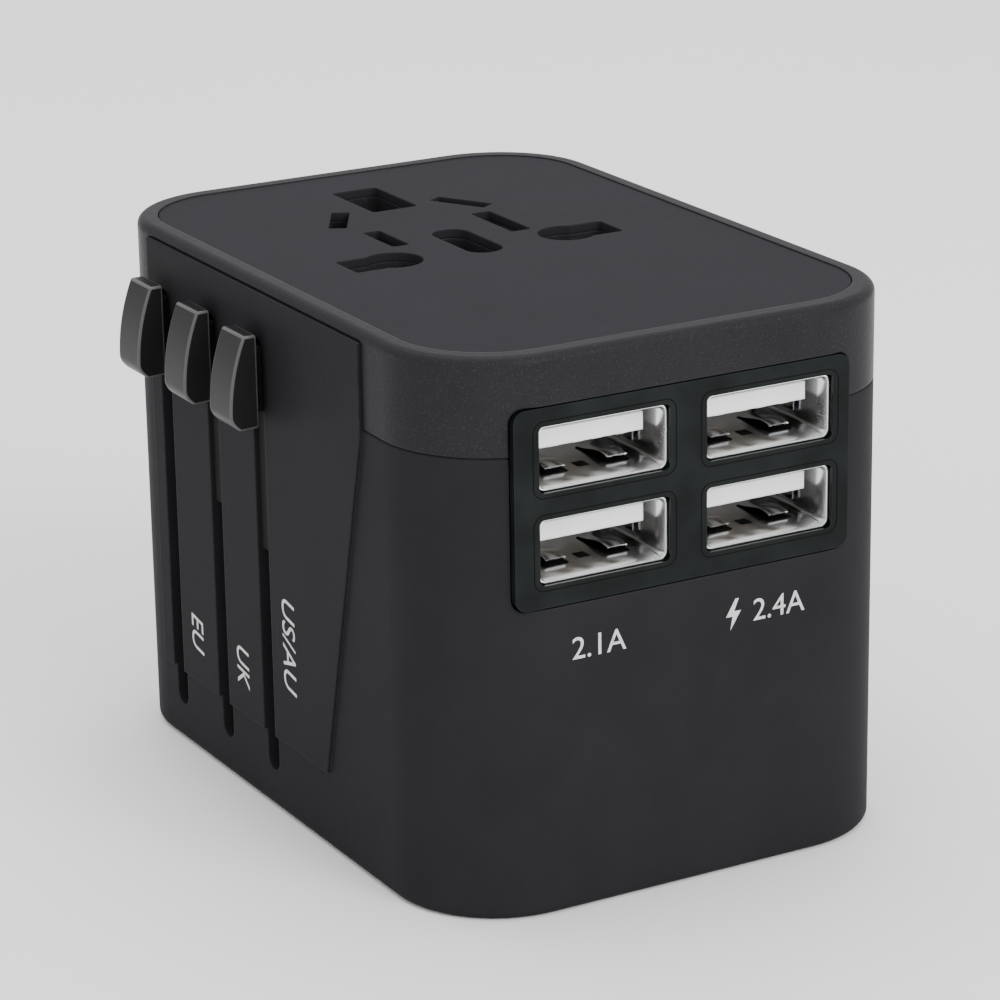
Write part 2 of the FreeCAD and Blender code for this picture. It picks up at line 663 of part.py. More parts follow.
def fuse_parts():
    """A cartridge fuse held in two clips on the port board."""
    y, z = as_size(-24), as_size(27.6)
    finish(rod("fuse_tube", (-8, y, z), 2.4, 16, "x"), "fuse_tube")
    caps, clips = [], []
    for side in (-1, 1):
        end = min(side * 10, side * 5)
        cap = rod(f"cap_outside_{side + 1}", (end, y, z), 2.6, 5, "x")
        room = rod(f"cap_inside_{side + 1}", (-8, y, z), 2.4, 16, "x")
        caps.append(cut(f"fuse_cap_{side + 1}", cap, [room]))
        x = side * 7.5
        back = box(f"clip_back_{side + 1}", (x - 1.5, PORT_BOARD_FRONT - 0.5, z - 3.2),
                   (x + 1.5, PORT_BOARD_FRONT, z + 3.2))
        arms = [box(f"clip_arm_{side + 1}_{i}", (x - 1.5, y - 3, arm_low),
                    (x + 1.5, PORT_BOARD_FRONT - 0.5, arm_low + 0.5))
                for i, arm_low in enumerate((z - 3.2, z + 2.7))]
        clips.append(fuse(f"fuse_clip_{side + 1}", [back, *arms]))
    finish(group("fuse_end_caps", caps), "fuse_end_caps")
    finish(group("fuse_clips", clips), "fuse_clips")


def partition_wall():
    """The insulating wall between the electronics and the pin carriages."""
    finish(box("partition_wall", (-19, -15.6, D.floor_thickness + 0.1), (19, -14.2, 33.4)),
           "partition_wall")


# ------------------------------------------------------------------- sliders and their pins

def carriage_rest(code):
    """Height of the underside of a carriage with its pins in."""
    return D.carriage_low + TRAVELS[code]


def knob(code):
    """A thumb knob with the neck in its slot and the foot behind the wall."""
    y = SLOTS[code]
    body = doc.addObject("PartDesign::Body", f"{code}_knob_head")
    profile = sketch_on(body, f"{code}_knob_profile", "XZ_Plane", -y)
    low, high = D.knob_low, D.knob_high
    draw_polygon(profile, [
        (-D.knob_stand, low + 0.1), (-D.knob_stand, high), (-D.knob_thin, high),
        (-D.knob_thin - 0.7, high - 2.2), (-D.knob_crown + 0.35, high - 4.6),
        (-D.knob_crown, low + 2.2), (-D.knob_crown, low + 1.3), (-D.knob_crown + 1.0, low)])
    head = pad(body, profile, D.knob_width, midplane=True)
    crown = D.knob_stand.value + 1.2
    chamfer_edges(body, head, 0.35, lambda edge: abs(edge.Vertexes[0].Y - edge.Vertexes[-1].Y) < 1e-6
                  and max(v.X for v in edge.Vertexes) < -crown)
    neck_low = {"us": 26.5, "uk": 28.4, "eu": 39.2}[code]
    half_neck = D.slot_width / 2 - 0.2
    neck = box(f"{code}_neck", (-INNER_X - 2.0, y - half_neck, neck_low),
               (D.link_start - 1.3, y + half_neck, D.knob_neck_top))
    stem = box(f"{code}_stem", (-D.knob_stand - 0.2, y - half_neck, low + 1.2),
               (-INNER_X - 1.9, y + half_neck, D.knob_neck_top))
    half_foot = D.foot_width / 2
    foot = box(f"{code}_foot", (D.link_start - 1.4, y - half_foot, carriage_rest(code)),
               (D.link_start, y + half_foot, D.knob_neck_top - 0.1))
    bore = rod(f"{code}_foot_bore", (D.link_start - 1.2, y, carriage_rest(code) + 7.5), 0.9, 2, "x")
    joined = fuse(f"{code}_knob_joined", [body, neck, stem, foot])
    finish(cut(f"{code}_knob", joined, [bore]), f"{code}_knob")


def carriage(code, slabs, link_y):
    """A carriage of flat slabs, with its link, screw tab and openings for the pins."""
    low = carriage_rest(code)
    high = low + D.carriage_thickness
    pieces = [box(f"{code}_slab_{i}", (x0, y0, low), (x1, y1, high))
              for i, (x0, y0, x1, y1) in enumerate(slabs)]
    y = SLOTS[code]
    pieces.append(box(f"{code}_link", (D.link_start, link_y[0], low),
                      (slabs[0][0] + 0.5, link_y[1], high)))
    pieces.append(box(f"{code}_tab", (D.link_start, y - 2.2, low),
                      (D.link_start + 2, y + 2.2, low + D.link_tab + 1)))
    return fuse(f"{code}_carriage_block", pieces), low, high


def knob_screw(code):
    """The screw that holds a knob to its carriage, and the bore that it runs in."""
    y, z = SLOTS[code], carriage_rest(code) + 7.5
    shank = rod(f"{code}_screw_shank", (D.link_start - 1.1, y, z), 0.87, 3.2, "x")
    head = rod(f"{code}_screw_head", (D.link_start + 2, y, z), 1.7, 1.1, "x")
    screw = fuse(f"{code}_screw_blank", [shank, head])
    slot = box(f"{code}_screw_slot", (D.link_start + 2.6, y - 1.2, z - 0.2),
               (D.link_start + 3.2, y + 1.2, z + 0.2))
    finish(cut(f"{code}_knob_screw", screw, [slot]), f"{code}_knob_screw")
    return rod(f"{code}_tab_bore", (D.link_start - 0.5, y, z), 0.9, 3, "x")


def us_slider():
    """The American and Australian slider: two blades, each in a turret that turns."""
    code = "us"
    block, low, high = carriage(code, [(-12, D.blade_row - 5.2, 12, D.blade_row + 5.2)], (-4.9, 0.8))
    bores = [rod(f"turret_bore_{side + 1}", (side * D.blade_reach, D.blade_row, low - 1),
                 D.turret_radius + D.turret_gap, D.carriage_thickness + 2) for side in (-1, 1)]
    finish(cut("us_carriage", block, [*bores, knob_screw(code)]), "us_carriage")
    for name, side in (("left", -1), ("right", 1)):
        x, y = side * D.blade_reach, D.blade_row
        half_long, half_thick = D.blade_long / 2, D.blade_thick / 2
        drum = rod(f"turret_drum_{name}", (x, y, low), D.turret_radius, D.carriage_thickness)
        flange = rod(f"turret_flange_{name}", (x, y, high + 0.05), D.turret_radius + 0.7, 0.8)
        hub = rod(f"turret_hub_{name}", (x, y, high - 0.5), D.turret_radius, 1)
        room = box(f"turret_room_{name}", (x - half_thick - 0.02, y - half_long - 0.02, low - 1),
                   (x + half_thick + 0.02, y + half_long + 0.02, high + 2))
        finish(cut(f"us_turret_{name}", fuse(f"turret_{name}_blank", [drum, hub, flange]), [room]),
               f"us_turret_{name}")
        tip = D.us_travel - D.us_blade_out
        body = new_body(f"us_blade_{name}")
        outline = sketch_on(body, f"blade_outline_{name}", "YZ_Plane", x - half_thick)
        nose = tip + 1.6
        draw_polygon(outline, [
            (y - half_long, high + 0.6), (y - half_long, nose), (y - half_long + 1.6, tip),
            (y + half_long - 1.6, tip), (y + half_long, nose), (y + half_long, high + 0.6)])
        pad(body, outline, D.blade_thick)
        bore = sketch_on(body, f"blade_bore_{name}", "YZ_Plane", x + half_thick)
        draw_circle(bore, (y, tip + 5.5), 1.6)
        pocket(body, bore, D.blade_thick)


def flat_pin(name, centre, half_x, half_y, tip, top):
    """A flat pin with a bevelled tip."""
    body = doc.addObject("PartDesign::Body", name)
    outline = sketch_on(body, f"{name}_section", "XY_Plane", tip)
    x, y = centre
    draw_polygon(outline, [(x - half_x, y - half_y), (x + half_x, y - half_y),
                           (x + half_x, y + half_y), (x - half_x, y + half_y)])
    shank = pad(body, outline, top - tip)
    chamfer_edges(body, shank, 0.9, at_height(tip))
    return body


def uk_slider():
    """The British slider: a carriage in the shape of a C, with its pins, two of them sleeved."""
    code = "uk"
    row, earth_row = D.pin_row, D.pin_row + D.earth_reach
    block, low, high = carriage(
        code, [(-15.5, 1.6, 20, 8.0), (15.5, 1.6, 20, 25.3), (-4.5, 21.3, 20, 25.3),
               (-4.5, 21.3, 4.5, 31.2)], (4.0, 10.4))
    half_long, half_thick = D.pin_long / 2, D.pin_thick / 2
    half_earth = D.earth_long / 2
    core_long, core_thick = half_long - D.sleeve_wall, half_thick - D.sleeve_wall
    rooms = [box(f"uk_pin_room_{side + 1}", (side * D.pin_reach - core_long, row - core_thick, low - 1),
                 (side * D.pin_reach + core_long, row + core_thick, high + 1)) for side in (-1, 1)]
    rooms.append(box("uk_earth_room", (-half_thick, earth_row - half_earth, low - 1),
                     (half_thick, earth_row + half_earth, high + 1)))
    finish(cut("uk_carriage", block, [*rooms, knob_screw(code)]), "uk_carriage")
    tip = D.uk_travel - D.uk_pin_out
    bare_top = tip + D.flat_sleeve_start
    pins, sleeves = [], []
    for side, end, tail_front, tail_back in ((-1, -16.6, 2.8, 3.5), (1, 20.5, 3.4, 5.2)):
        x = side * D.pin_reach
        pin = flat_pin(f"uk_pin_{side + 1}", (x, row), half_long, half_thick, tip, bare_top)
        core = box(f"uk_core_{side + 1}", (x - core_long, row - core_thick, bare_top - 1),
                   (x + core_long, row + core_thick, high))
        start, stop = (as_size(end), x) if side < 0 else (x, as_size(end))
        tail = box(f"uk_tail_{side + 1}", (start, tail_front, high), (stop, tail_back, high + 0.6))
        pins.append(fuse(f"uk_pin_with_tail_{side + 1}", [pin, core, tail]))
        skin = box(f"uk_sleeve_skin_{side + 1}", (x - half_long, row - half_thick, bare_top),
                   (x + half_long, row + half_thick, low))
        bore = box(f"uk_sleeve_bore_{side + 1}", (x - core_long, row - core_thick, bare_top - 1),
                   (x + core_long, row + core_thick, low + 1))
        sleeves.append(cut(f"uk_sleeve_{side + 1}", skin, [bore]))
    finish(group("uk_line_neutral_pins", pins), "uk_line_neutral_pins")
    finish(group("uk_pin_sleeves", sleeves), "uk_pin_sleeves")
    earth = flat_pin("uk_earth_shank", (as_size(0), earth_row), half_thick, half_earth,
                     D.uk_travel - D.uk_earth_out, high)
    head = box("uk_earth_head", (-1.8, earth_row - 3.8, high), (1.8, earth_row + 3.8, high + 0.6))
    finish(fuse("uk_earth_pin", [earth, head]), "uk_earth_pin")


def eu_slider():
    """The European slider: a bar with two round pins, sleeved near the bar."""
    code = "eu"
    block, low, high = carriage(code, [(-12.5, 11.0, 12.5, 19.2)], (15.2, 21.8))
    rooms = [rod(f"eu_pin_room_{side + 1}", (side * D.round_reach, D.round_row, low - 1),
                 D.round_core, D.carriage_thickness + 2) for side in (-1, 1)]
    finish(cut("eu_carriage", block, [*rooms, knob_screw(code)]), "eu_carriage")
    tip = D.eu_travel - D.eu_pin_out
    bare_top = tip + D.sleeve_start
    pins, sleeves = [], []
    for side in (-1, 1):
        x = side * D.round_reach
        shank = rod(f"eu_shank_{side + 1}", (x, D.round_row, tip + D.round_radius), D.round_radius,
                    D.sleeve_start - D.round_radius)
        core = rod(f"eu_core_{side + 1}", (x, D.round_row, bare_top - 1), D.round_core,
                   high - bare_top + 1)
        nose = doc.addObject("Part::Sphere", f"eu_nose_{side + 1}")
        bind(nose, "Radius", D.round_radius)
        place(nose, (x, D.round_row, tip + D.round_radius))
        start, stop = (as_size(-13.6), x) if side < 0 else (x, as_size(13.2))
        tail = box(f"eu_tail_{side + 1}", (start, D.round_row - 2.2, high),
                   (stop, D.round_row - 0.6, high + 0.6))
        pins.append(fuse(f"eu_pin_{side + 1}", [shank, core, nose, tail]))
        skin = rod(f"eu_sleeve_skin_{side + 1}", (x, D.round_row, bare_top), D.round_radius,
                   low - bare_top)
        collar = rod(f"eu_sleeve_collar_{side + 1}", (x, D.round_row, low - D.collar_height),
                     D.collar_radius, D.collar_height)
        bore = rod(f"eu_sleeve_bore_{side + 1}", (x, D.round_row, bare_top - 1), D.round_core,
                   low - bare_top + 2)
        sleeves.append(cut(f"eu_sleeve_{side + 1}", fuse(f"eu_sleeve_blank_{side + 1}", [skin, collar]),
                           [bore]))
    finish(group("eu_pins", pins), "eu_pins")
    finish(group("eu_pin_sleeves", sleeves), "eu_pin_sleeves")


# --------------------------------------------------------------- sockets and their contacts

BLOCK_SCREWS = [(D.socket_x + side * 13, y) for side in (-1, 1) for y in (-13.8, 22.6)]


def socket_block():
    """The insulating block under the deck, with a cavity under each opening."""
    x0, y0 = D.socket_x, D.socket_y
    low, high = D.block_low, D.block_high
    main = box("block_main", (x0 - D.block_side, D.block_front, low), (x0 + D.block_side, D.block_back, high))
    tower = box("block_tower", (x0 - 5, D.block_back - 1, low), (x0 + 5, 31.2, high))
    fence = box("block_fence", (x0 - 11, D.block_front, high - 1), (x0 + 11, D.block_front + 1, 50.3))
    earth = y0 + D.earth_reach - 0.2
    rooms = [
        ("earth_room", -2.9, earth - 5.0, 2.9, earth + 5.0),
        ("centre_room", -2.3, y0 - 2.8, 2.1, y0 + 7.9),
        ("us_left_room", -8.0, y0 + 4.0, -4.7, y0 + 11.2),
        ("us_right_room", 4.6, y0 + 3.6, 8.1, y0 + 12.0),
        ("au_left_room", -10.2, y0 + 12.9, -3.5, y0 + 20.0),
        ("au_right_room", 3.5, y0 + 12.9, 10.2, y0 + 20.0),
        ("line_room", -15.1, y0 - 3.2, -6.2, y0 + 3.2),
        ("neutral_room", 6.2, y0 - 3.2, 15.1, y0 + 3.2),
    ]
    tools = [box(name, (x0 + left, front, D.cavity_floor), (x0 + right, back, high + 1))
             for name, left, front, right, back in rooms]
    for i, (x, y) in enumerate(BLOCK_SCREWS):
        tools.append(rod(f"block_shank_hole_{i}", (x, y, low - 1), 1.15, high - low + 2))
        tools.append(rod(f"block_head_well_{i}", (x, y, low - 1), 2.2, 5))
    finish(cut("socket_block", fuse("block_blank", [main, tower, fence]), tools), "socket_block")


def leaf_clip(name, centre, half_gap, half_long, across="y"):
    """Two upright brass leaves on a base, with a plug pin's thickness between them."""
    x, y = centre
    low, high, sheet = D.cavity_floor, D.contact_high, D.contact_sheet
    if across == "y":
        leaves = [box(f"{name}_leaf_{i}", (x - half_long, start, low), (x + half_long, start + sheet, high))
                  for i, start in enumerate((y - half_gap - sheet, y + half_gap))]
        base = box(f"{name}_base", (x - half_long, y - half_gap - sheet, low),
                   (x + half_long, y + half_gap + sheet, low + sheet))
    else:
        leaves = [box(f"{name}_leaf_{i}", (start, y - half_long, low), (start + sheet, y + half_long, high))
                  for i, start in enumerate((x - half_gap - sheet, x + half_gap))]
        base = box(f"{name}_base", (x - half_gap - sheet, y - half_long, low),
                   (x + half_gap + sheet, y + half_long, low + sheet))
    return fuse(name, [base, *leaves])


def socket_contacts():
    """The brass clips that grip the pins of a foreign plug."""
    x0, y0 = D.socket_x, D.socket_y
    for name, side in (("line", -1), ("neutral", 1)):
        clip = leaf_clip(f"{name}_socket_contact", (x0 + side * 10.65, y0), 2.4, 4.2)
        finish(clip, f"{name}_socket_contact")
    earth = leaf_clip("earth_socket_contact", (x0, y0 + D.earth_reach - 0.2), 2.2, 4.7, across="x")
    finish(earth, "earth_socket_contact")
    clips = [leaf_clip("us_left_clip", (x0 - 6.35, y0 + 7.6), 1.0, 3.3, across="x"),
             leaf_clip("us_right_clip", (x0 + 6.35, y0 + 7.6), 1.1, 3.7, across="x")]
    for name, side in (("left", -1), ("right", 1)):
        pair = leaf_clip(f"au_{name}_clip", (as_size(0), as_size(0)), 0.95, 2.4, across="x")
        pair.Placement = FreeCAD.Placement(
            FreeCAD.Vector(), FreeCAD.Rotation(FreeCAD.Vector(0, 0, 1), side * D.blade_turn.value))
        place(pair, (x0 + side * 6.86, y0 + 16.4, 0))
        clips.append(pair)
    finish(group("blade_socket_contacts", clips), "blade_socket_contacts")


def bus_bars():
    """The brass bars that carry current from the pins to the sockets and the power board."""
    low, top, sheet = D.bar_foot, D.bar_top, D.bar_sheet
    under = top - sheet
    plans = {
        "line_bus_bar": [(-17.6, -13.6, -13.2, 14.5, under), (-17.6, 1.6, -16.8, 3.6, low),
                         (-14.6, 11.5, -13.8, 14.5, low), (-15.2, -13.6, -13.2, -12.8, low)],
        "neutral_bus_bar": [(11.4, -13.6, 14.4, 15.0, under), (13.8, 3.0, 21.5, 5.6, under),
                            (20.7, 3.0, 21.5, 5.6, low), (13.4, 12.0, 14.2, 15.0, low),
                            (11.4, -13.6, 14.4, -12.8, low)],
    }
    for name, strips in plans.items():
        pieces = [box(f"{name}_strip_{i}", (x0, y0, foot), (x1, y1, top))
                  for i, (x0, y0, x1, y1, foot) in enumerate(strips)]
        finish(fuse(name, pieces), name)


# ---------------------------------------------------------- shutter, release button, springs

def coil(name, start, axis, radius, wire, length, turns):
    """A coil spring of round wire from a centre point along an axis."""
    helix = doc.addObject("Part::Helix", name + "_helix")
    bind(helix, "Pitch", (as_size(length) - 2 * wire) / turns)
    bind(helix, "Height", as_size(length) - 2 * wire)
    bind(helix, "Radius", radius)
    profile = doc.addObject("Part::Circle", name + "_wire")
    bind(profile, "Radius", wire)
    profile.Placement = FreeCAD.Placement(
        FreeCAD.Vector(radius, 0, 0), FreeCAD.Rotation(FreeCAD.Vector(1, 0, 0), 90))
    sweep = doc.addObject("Part::Sweep", name)
    sweep.Sections = [profile]
    sweep.Spine = (helix, ["Edge1"])
    sweep.Solid = True
    sweep.Frenet = True
    direction = {"x": FreeCAD.Vector(1, 0, 0), "y": FreeCAD.Vector(0, 1, 0)}[axis]
    sweep.Placement = FreeCAD.Placement(
        FreeCAD.Vector(), FreeCAD.Rotation(FreeCAD.Vector(0, 0, 1), direction))
    place(sweep, start)
    bind(sweep, f".Placement.Base.{axis}", start["xyz".index(axis)] + wire)
    return sweep


def safety_shutter():
    """The sprung shutter that covers the line and neutral holes."""
    x0 = D.socket_x
    low, high, reach = D.shutter_low, D.shutter_high, D.shutter_reach
    bar = box("shutter_bar", (x0 - reach, -6.2, low), (x0 + reach, -3.0, high))
    wings = [box("shutter_left_wing", (x0 - reach, -3.2, low), (x0 - 5.6, 3.0, high)),
             box("shutter_right_wing", (x0 + 5.6, -3.2, low), (x0 + reach, 3.0, high))]
    finish(fuse("safety_shutter", [bar, *wings]), "safety_shutter")
    start = D.block_front + 1
    springs = [coil(f"shutter_spring_{side + 1}", (x0 + side * 9, start, as_size(49.35)), "y",
                    0.6, 0.14, 9.0, 10) for side in (-1, 1)]
    finish(group("shutter_springs", springs), "shutter_springs")


def release_button():
    """The sprung button in the right wall that frees the sliders, with its latch plate."""
    body = new_body("release_button")
    y, z = D.button_y, D.button_z
    half_long, half_tall = D.button_long / 2, D.button_tall / 2
    flange = sketch_on(body, "button_flange", "YZ_Plane", INNER_X - 1.1)
    draw_rounded(flange, (y - half_long - 1, z - half_tall - 2.3),
                 (y + half_long + 1, z + half_tall + 1), 1.0)
    pad(body, flange, 0.9)
    face = sketch_on(body, "button_face", "YZ_Plane", INNER_X - 0.5)
    draw_rounded(face, (y - half_long, z - half_tall), (y + half_long, z + half_tall), half_tall - 0.1)
    head = pad(body, face, D.wall + D.button_proud + 0.5)
    outer = HALF_WIDTH + D.button_proud
    round_edges(body, head, 0.4, lambda edge: all(abs(v.X - outer.value) < 1e-4 for v in edge.Vertexes))
    plate = box("latch_plate", (17.2, y - 4.5, 32.2), (INNER_X - 1.1, y + 5, 33.2))
    finish(plate, "latch_plate")
    block_side = D.socket_x + D.block_side
    spring = coil("release_spring", (block_side, y, z), "x", 1.6, 0.2, (INNER_X - 1.1 - block_side), 8)
    finish(spring, "release_spring")


# ------------------------------------------------------------------------------- fasteners

def screws():
    """The four casing screws and the four that hold the socket block to the cap."""
    long_screws = []
    for i, (x, y) in enumerate(BOSSES):
        head = rod(f"casing_head_{i}", (x, y, 31.6), 2.1, 2.4)
        shank = rod(f"casing_shank_{i}", (x, y, 33.9), 1.2, 15.6)
        slot = box(f"casing_slot_{i}", (x - 1.6, y - 0.25, 31.0), (x + 1.6, y + 0.25, 32.4))
        cross = box(f"casing_cross_{i}", (x - 0.25, y - 1.6, 31.0), (x + 0.25, y + 1.6, 32.4))
        long_screws.append(cut(f"casing_screw_{i}", fuse(f"casing_blank_{i}", [head, shank]), [slot, cross]))
    finish(group("housing_screws", long_screws), "housing_screws")
    short_screws = []
    for i, (x, y) in enumerate(BLOCK_SCREWS):
        head = rod(f"block_head_{i}", (x, y, 36.6), 2.0, 2.0)
        shank = rod(f"block_shank_{i}", (x, y, 38.5), 1.05, 11.5)
        short_screws.append(fuse(f"block_screw_{i}", [head, shank]))
    finish(group("block_screws", short_screws), "block_screws")


def build():
    """Builds every sub-part."""
    lower_housing()
    top_cap()
    socket_plate()
    usb_bezel()
    for name, (x, z) in PORTS.items():
        usb_shell(name, x, z)
        usb_tongue(name, x, z)
    usb_contacts()
    circuit_boards()
    transformer()
    board_components()
    fuse_parts()
    partition_wall()
    for code in SLOTS:
        knob(code)
    us_slider()
    uk_slider()
    eu_slider()
    socket_block()
    socket_contacts()
    bus_bars()
    safety_shutter()
    release_button()
    screws()


def check():
    """Stops if any object of the document failed or any sub-part has no valid shape."""
    doc.recompute()
    for thing in doc.Objects:
        if "Invalid" in thing.State or "Error" in thing.State:
            raise RuntimeError(f"{thing.Name} is {thing.State}")
    for part in subparts:
        if part.Shape.isNull() or not part.Shape.isValid() or not part.Shape.Solids:
            raise RuntimeError(f"{part.Label} has no valid solid")


def export():
    """Writes each sub-part to a file named by its label."""
    os.makedirs("parts", exist_ok=True)
    for part in subparts:
        part.Shape.exportStep(f"parts/{part.Label}.step")


build()
check()
export()
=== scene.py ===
"""Universal travel adapter: the finished looks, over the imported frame.

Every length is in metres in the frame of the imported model: +X right and +Y back when the USB
ports face the reader, +Z up, the origin at the centre of the bottom face.
"""
from __future__ import annotations

import json
import logging
import math
from dataclasses import dataclass
from enum import Enum
from typing import Sequence

import bmesh
import bpy
import numpy as np
from mathutils import Matrix, Vector

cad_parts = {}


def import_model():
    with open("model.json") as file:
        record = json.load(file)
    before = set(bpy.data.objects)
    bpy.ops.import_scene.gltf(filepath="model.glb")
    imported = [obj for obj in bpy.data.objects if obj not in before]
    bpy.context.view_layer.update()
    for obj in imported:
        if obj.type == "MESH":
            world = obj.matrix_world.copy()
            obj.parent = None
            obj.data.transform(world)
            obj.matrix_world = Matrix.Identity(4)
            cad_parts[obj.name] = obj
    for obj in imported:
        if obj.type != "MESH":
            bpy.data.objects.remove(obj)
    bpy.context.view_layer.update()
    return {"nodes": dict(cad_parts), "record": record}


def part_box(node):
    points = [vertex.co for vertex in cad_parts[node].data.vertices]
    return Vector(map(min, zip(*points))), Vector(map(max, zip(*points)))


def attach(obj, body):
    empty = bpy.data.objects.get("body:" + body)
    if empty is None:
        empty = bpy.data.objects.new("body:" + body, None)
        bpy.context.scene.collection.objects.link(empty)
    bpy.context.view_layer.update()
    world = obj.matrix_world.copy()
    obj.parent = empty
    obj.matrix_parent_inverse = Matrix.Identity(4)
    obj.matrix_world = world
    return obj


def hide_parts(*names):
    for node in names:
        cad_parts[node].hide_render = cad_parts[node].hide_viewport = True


LOG = logging.getLogger("travel_adapter")
MM = 0.001


# ------------------------------------------------------------------------------ shader maths


class Signal:
    """A socket of a node tree, so that sums and products are written as Python expressions."""

    def __init__(self, kit: MaterialKit, socket: bpy.types.NodeSocket) -> None:
        self.kit = kit
        self.socket = socket

    def __add__(self, other: Signal | float) -> Signal:
        """This plus another."""
        return self.kit.math("ADD", self, other)

    def __radd__(self, other: float) -> Signal:
        """A number plus this."""
        return self.kit.math("ADD", other, self)

    def __sub__(self, other: Signal | float) -> Signal:
        """This less another."""
        return self.kit.math("SUBTRACT", self, other)

    def __rsub__(self, other: float) -> Signal:
        """A number less this."""
        return self.kit.math("SUBTRACT", other, self)

    def __mul__(self, other: Signal | float) -> Signal:
        """This times another."""
        return self.kit.math("MULTIPLY", self, other)

    def __rmul__(self, other: float) -> Signal:
        """A number times this."""
        return self.kit.math("MULTIPLY", other, self)

    def clamped(self) -> Signal:
        """This held between 0 and 1."""
        return self.kit.math("ADD", self, 0.0, clamp=True)

    def ramp(self, start: float, end: float) -> Signal:
        """0 below start, 1 above end and smooth between them.

        Args:
            start: The value that becomes 0.
            end: The value that becomes 1.

        Returns:
            The remapped signal.
        """
        node = self.kit.node(
            "ShaderNodeMapRange",
            {"interpolation_type": "SMOOTHSTEP", "clamp": True},
            {"Value": self, "From Min": start, "From Max": end, "To Min": 0.0, "To Max": 1.0},
        )
        return Signal(self.kit, node.outputs["Result"])


Colour = tuple[float, float, float]


class MaterialKit:
    """One material's node tree and the methods that add nodes to it."""

    def __init__(self, name: str) -> None:
        """Makes an empty material with a surface shader.

        Args:
            name: The material's name.
        """
        self.material = bpy.data.materials.new(name)
        self.material.use_nodes = True
        self.tree = self.material.node_tree
        self.tree.nodes.clear()
        self.output = self.tree.nodes.new("ShaderNodeOutputMaterial")
        self.shader = self.tree.nodes.new("ShaderNodeBsdfPrincipled")
        self.tree.links.new(self.shader.outputs["BSDF"], self.output.inputs["Surface"])
        self._place: Signal | None = None

    def node(self, kind: str, settings: dict, inputs: dict) -> bpy.types.Node:
        """Adds a node, sets its options first and then its sockets.

        Args:
            kind: The node's type.
            settings: Option name to value.
            inputs: Socket name or index to a number, a colour or a Signal.

        Returns:
            The new node.
        """
        made = self.tree.nodes.new(kind)
        for option, value in settings.items():
            setattr(made, option, value)
        for socket, value in inputs.items():
            self.feed(made.inputs[socket], value)
        return made

    def feed(self, socket: bpy.types.NodeSocket, value: Signal | float | Sequence[float]) -> None:
        """Links a signal to a socket, or sets the socket's own value."""
        if isinstance(value, Signal):
            self.tree.links.new(value.socket, socket)
        elif isinstance(value, (tuple, list)) and socket.type == "RGBA" and len(value) == 3:
            socket.default_value = (*value, 1.0)
        else:
            socket.default_value = value

    def math(self, operation: str, first: Signal | float, second: Signal | float,
             clamp: bool = False) -> Signal:
        """One Math node."""
        made = self.node("ShaderNodeMath", {"operation": operation, "use_clamp": clamp},
                         {0: first, 1: second})
        return Signal(self, made.outputs[0])

    def set(self, **values: Signal | float | Colour) -> None:
        """Sets or links sockets of the surface shader, underscores standing for spaces."""
        for name, value in values.items():
            self.feed(self.shader.inputs[name.replace("_", " ")], value)

    @property
    def place(self) -> Signal:
        """The point of the surface in the object's own coordinates."""
        if self._place is None:
            made = self.node("ShaderNodeTexCoord", {}, {})
            self._place = Signal(self, made.outputs["Object"])
        return self._place

    def stretched(self, scale: tuple[float, float, float], turn: float = 0.0) -> Signal:
        """The surface point scaled along each axis and turned about +Z.

        Args:
            scale: The factor along X, Y and Z.
            turn: Degrees about +Z.

        Returns:
            The mapped point.
        """
        made = self.node("ShaderNodeMapping", {"vector_type": "POINT"},
                         {"Vector": self.place, "Scale": scale,
                          "Rotation": (0.0, 0.0, math.radians(turn))})
        return Signal(self, made.outputs["Vector"])

    def noise(self, size: float, detail: float = 2.0, rough: float = 0.5,
              at: Signal | None = None) -> Signal:
        """Cloudy noise.

        Args:
            size: The size of its lumps, in metres.
            detail: How many finer layers it has.
            rough: How strong the finer layers are.
            at: Where to read it; the surface point if not given.

        Returns:
            A value near 0.5, from 0 to 1.
        """
        made = self.node("ShaderNodeTexNoise", {}, {
            "Vector": at or self.place, "Scale": 1.0 / size, "Detail": detail, "Roughness": rough})
        return Signal(self, made.outputs["Fac"])

    def grains(self, size: float) -> Signal:
        """Small rounded cells, for spark-eroded mould texture.

        Args:
            size: The distance between cells, in metres.

        Returns:
            The distance from the nearest cell's centre.
        """
        made = self.node("ShaderNodeTexVoronoi", {"feature": "SMOOTH_F1"},
                         {"Vector": self.place, "Scale": 1.0 / size, "Smoothness": 0.6})
        return Signal(self, made.outputs["Distance"])

    def blend(self, factor: Signal | float, first: Signal | Colour, second: Signal | Colour) -> Signal:
        """A colour between two others."""
        made = self.tree.nodes.new("ShaderNodeMix")
        made.data_type = "RGBA"
        sockets = [s for s in made.inputs if s.enabled]
        for socket, value in zip(sockets, (factor, first, second)):
            self.feed(socket, value)
        shown = next(s for s in made.outputs if s.enabled)
        return Signal(self, shown)

    def edges(self, radius: float) -> Signal:
        """Where the surface turns sharply: the bevelled normal's departure from the true one.

        Args:
            radius: How far from an edge it reaches, in metres.

        Returns:
            0 on flat stretches, rising to 1 on an edge.
        """
        soft = self.node("ShaderNodeBevel", {"samples": 4}, {"Radius": radius})
        flat = self.node("ShaderNodeNewGeometry", {}, {})
        dot = self.node("ShaderNodeVectorMath", {"operation": "DOT_PRODUCT"}, {})
        self.tree.links.new(soft.outputs["Normal"], dot.inputs[0])
        self.tree.links.new(flat.outputs["Normal"], dot.inputs[1])
        return (1.0 - Signal(self, dot.outputs["Value"])).ramp(0.02, 0.3)

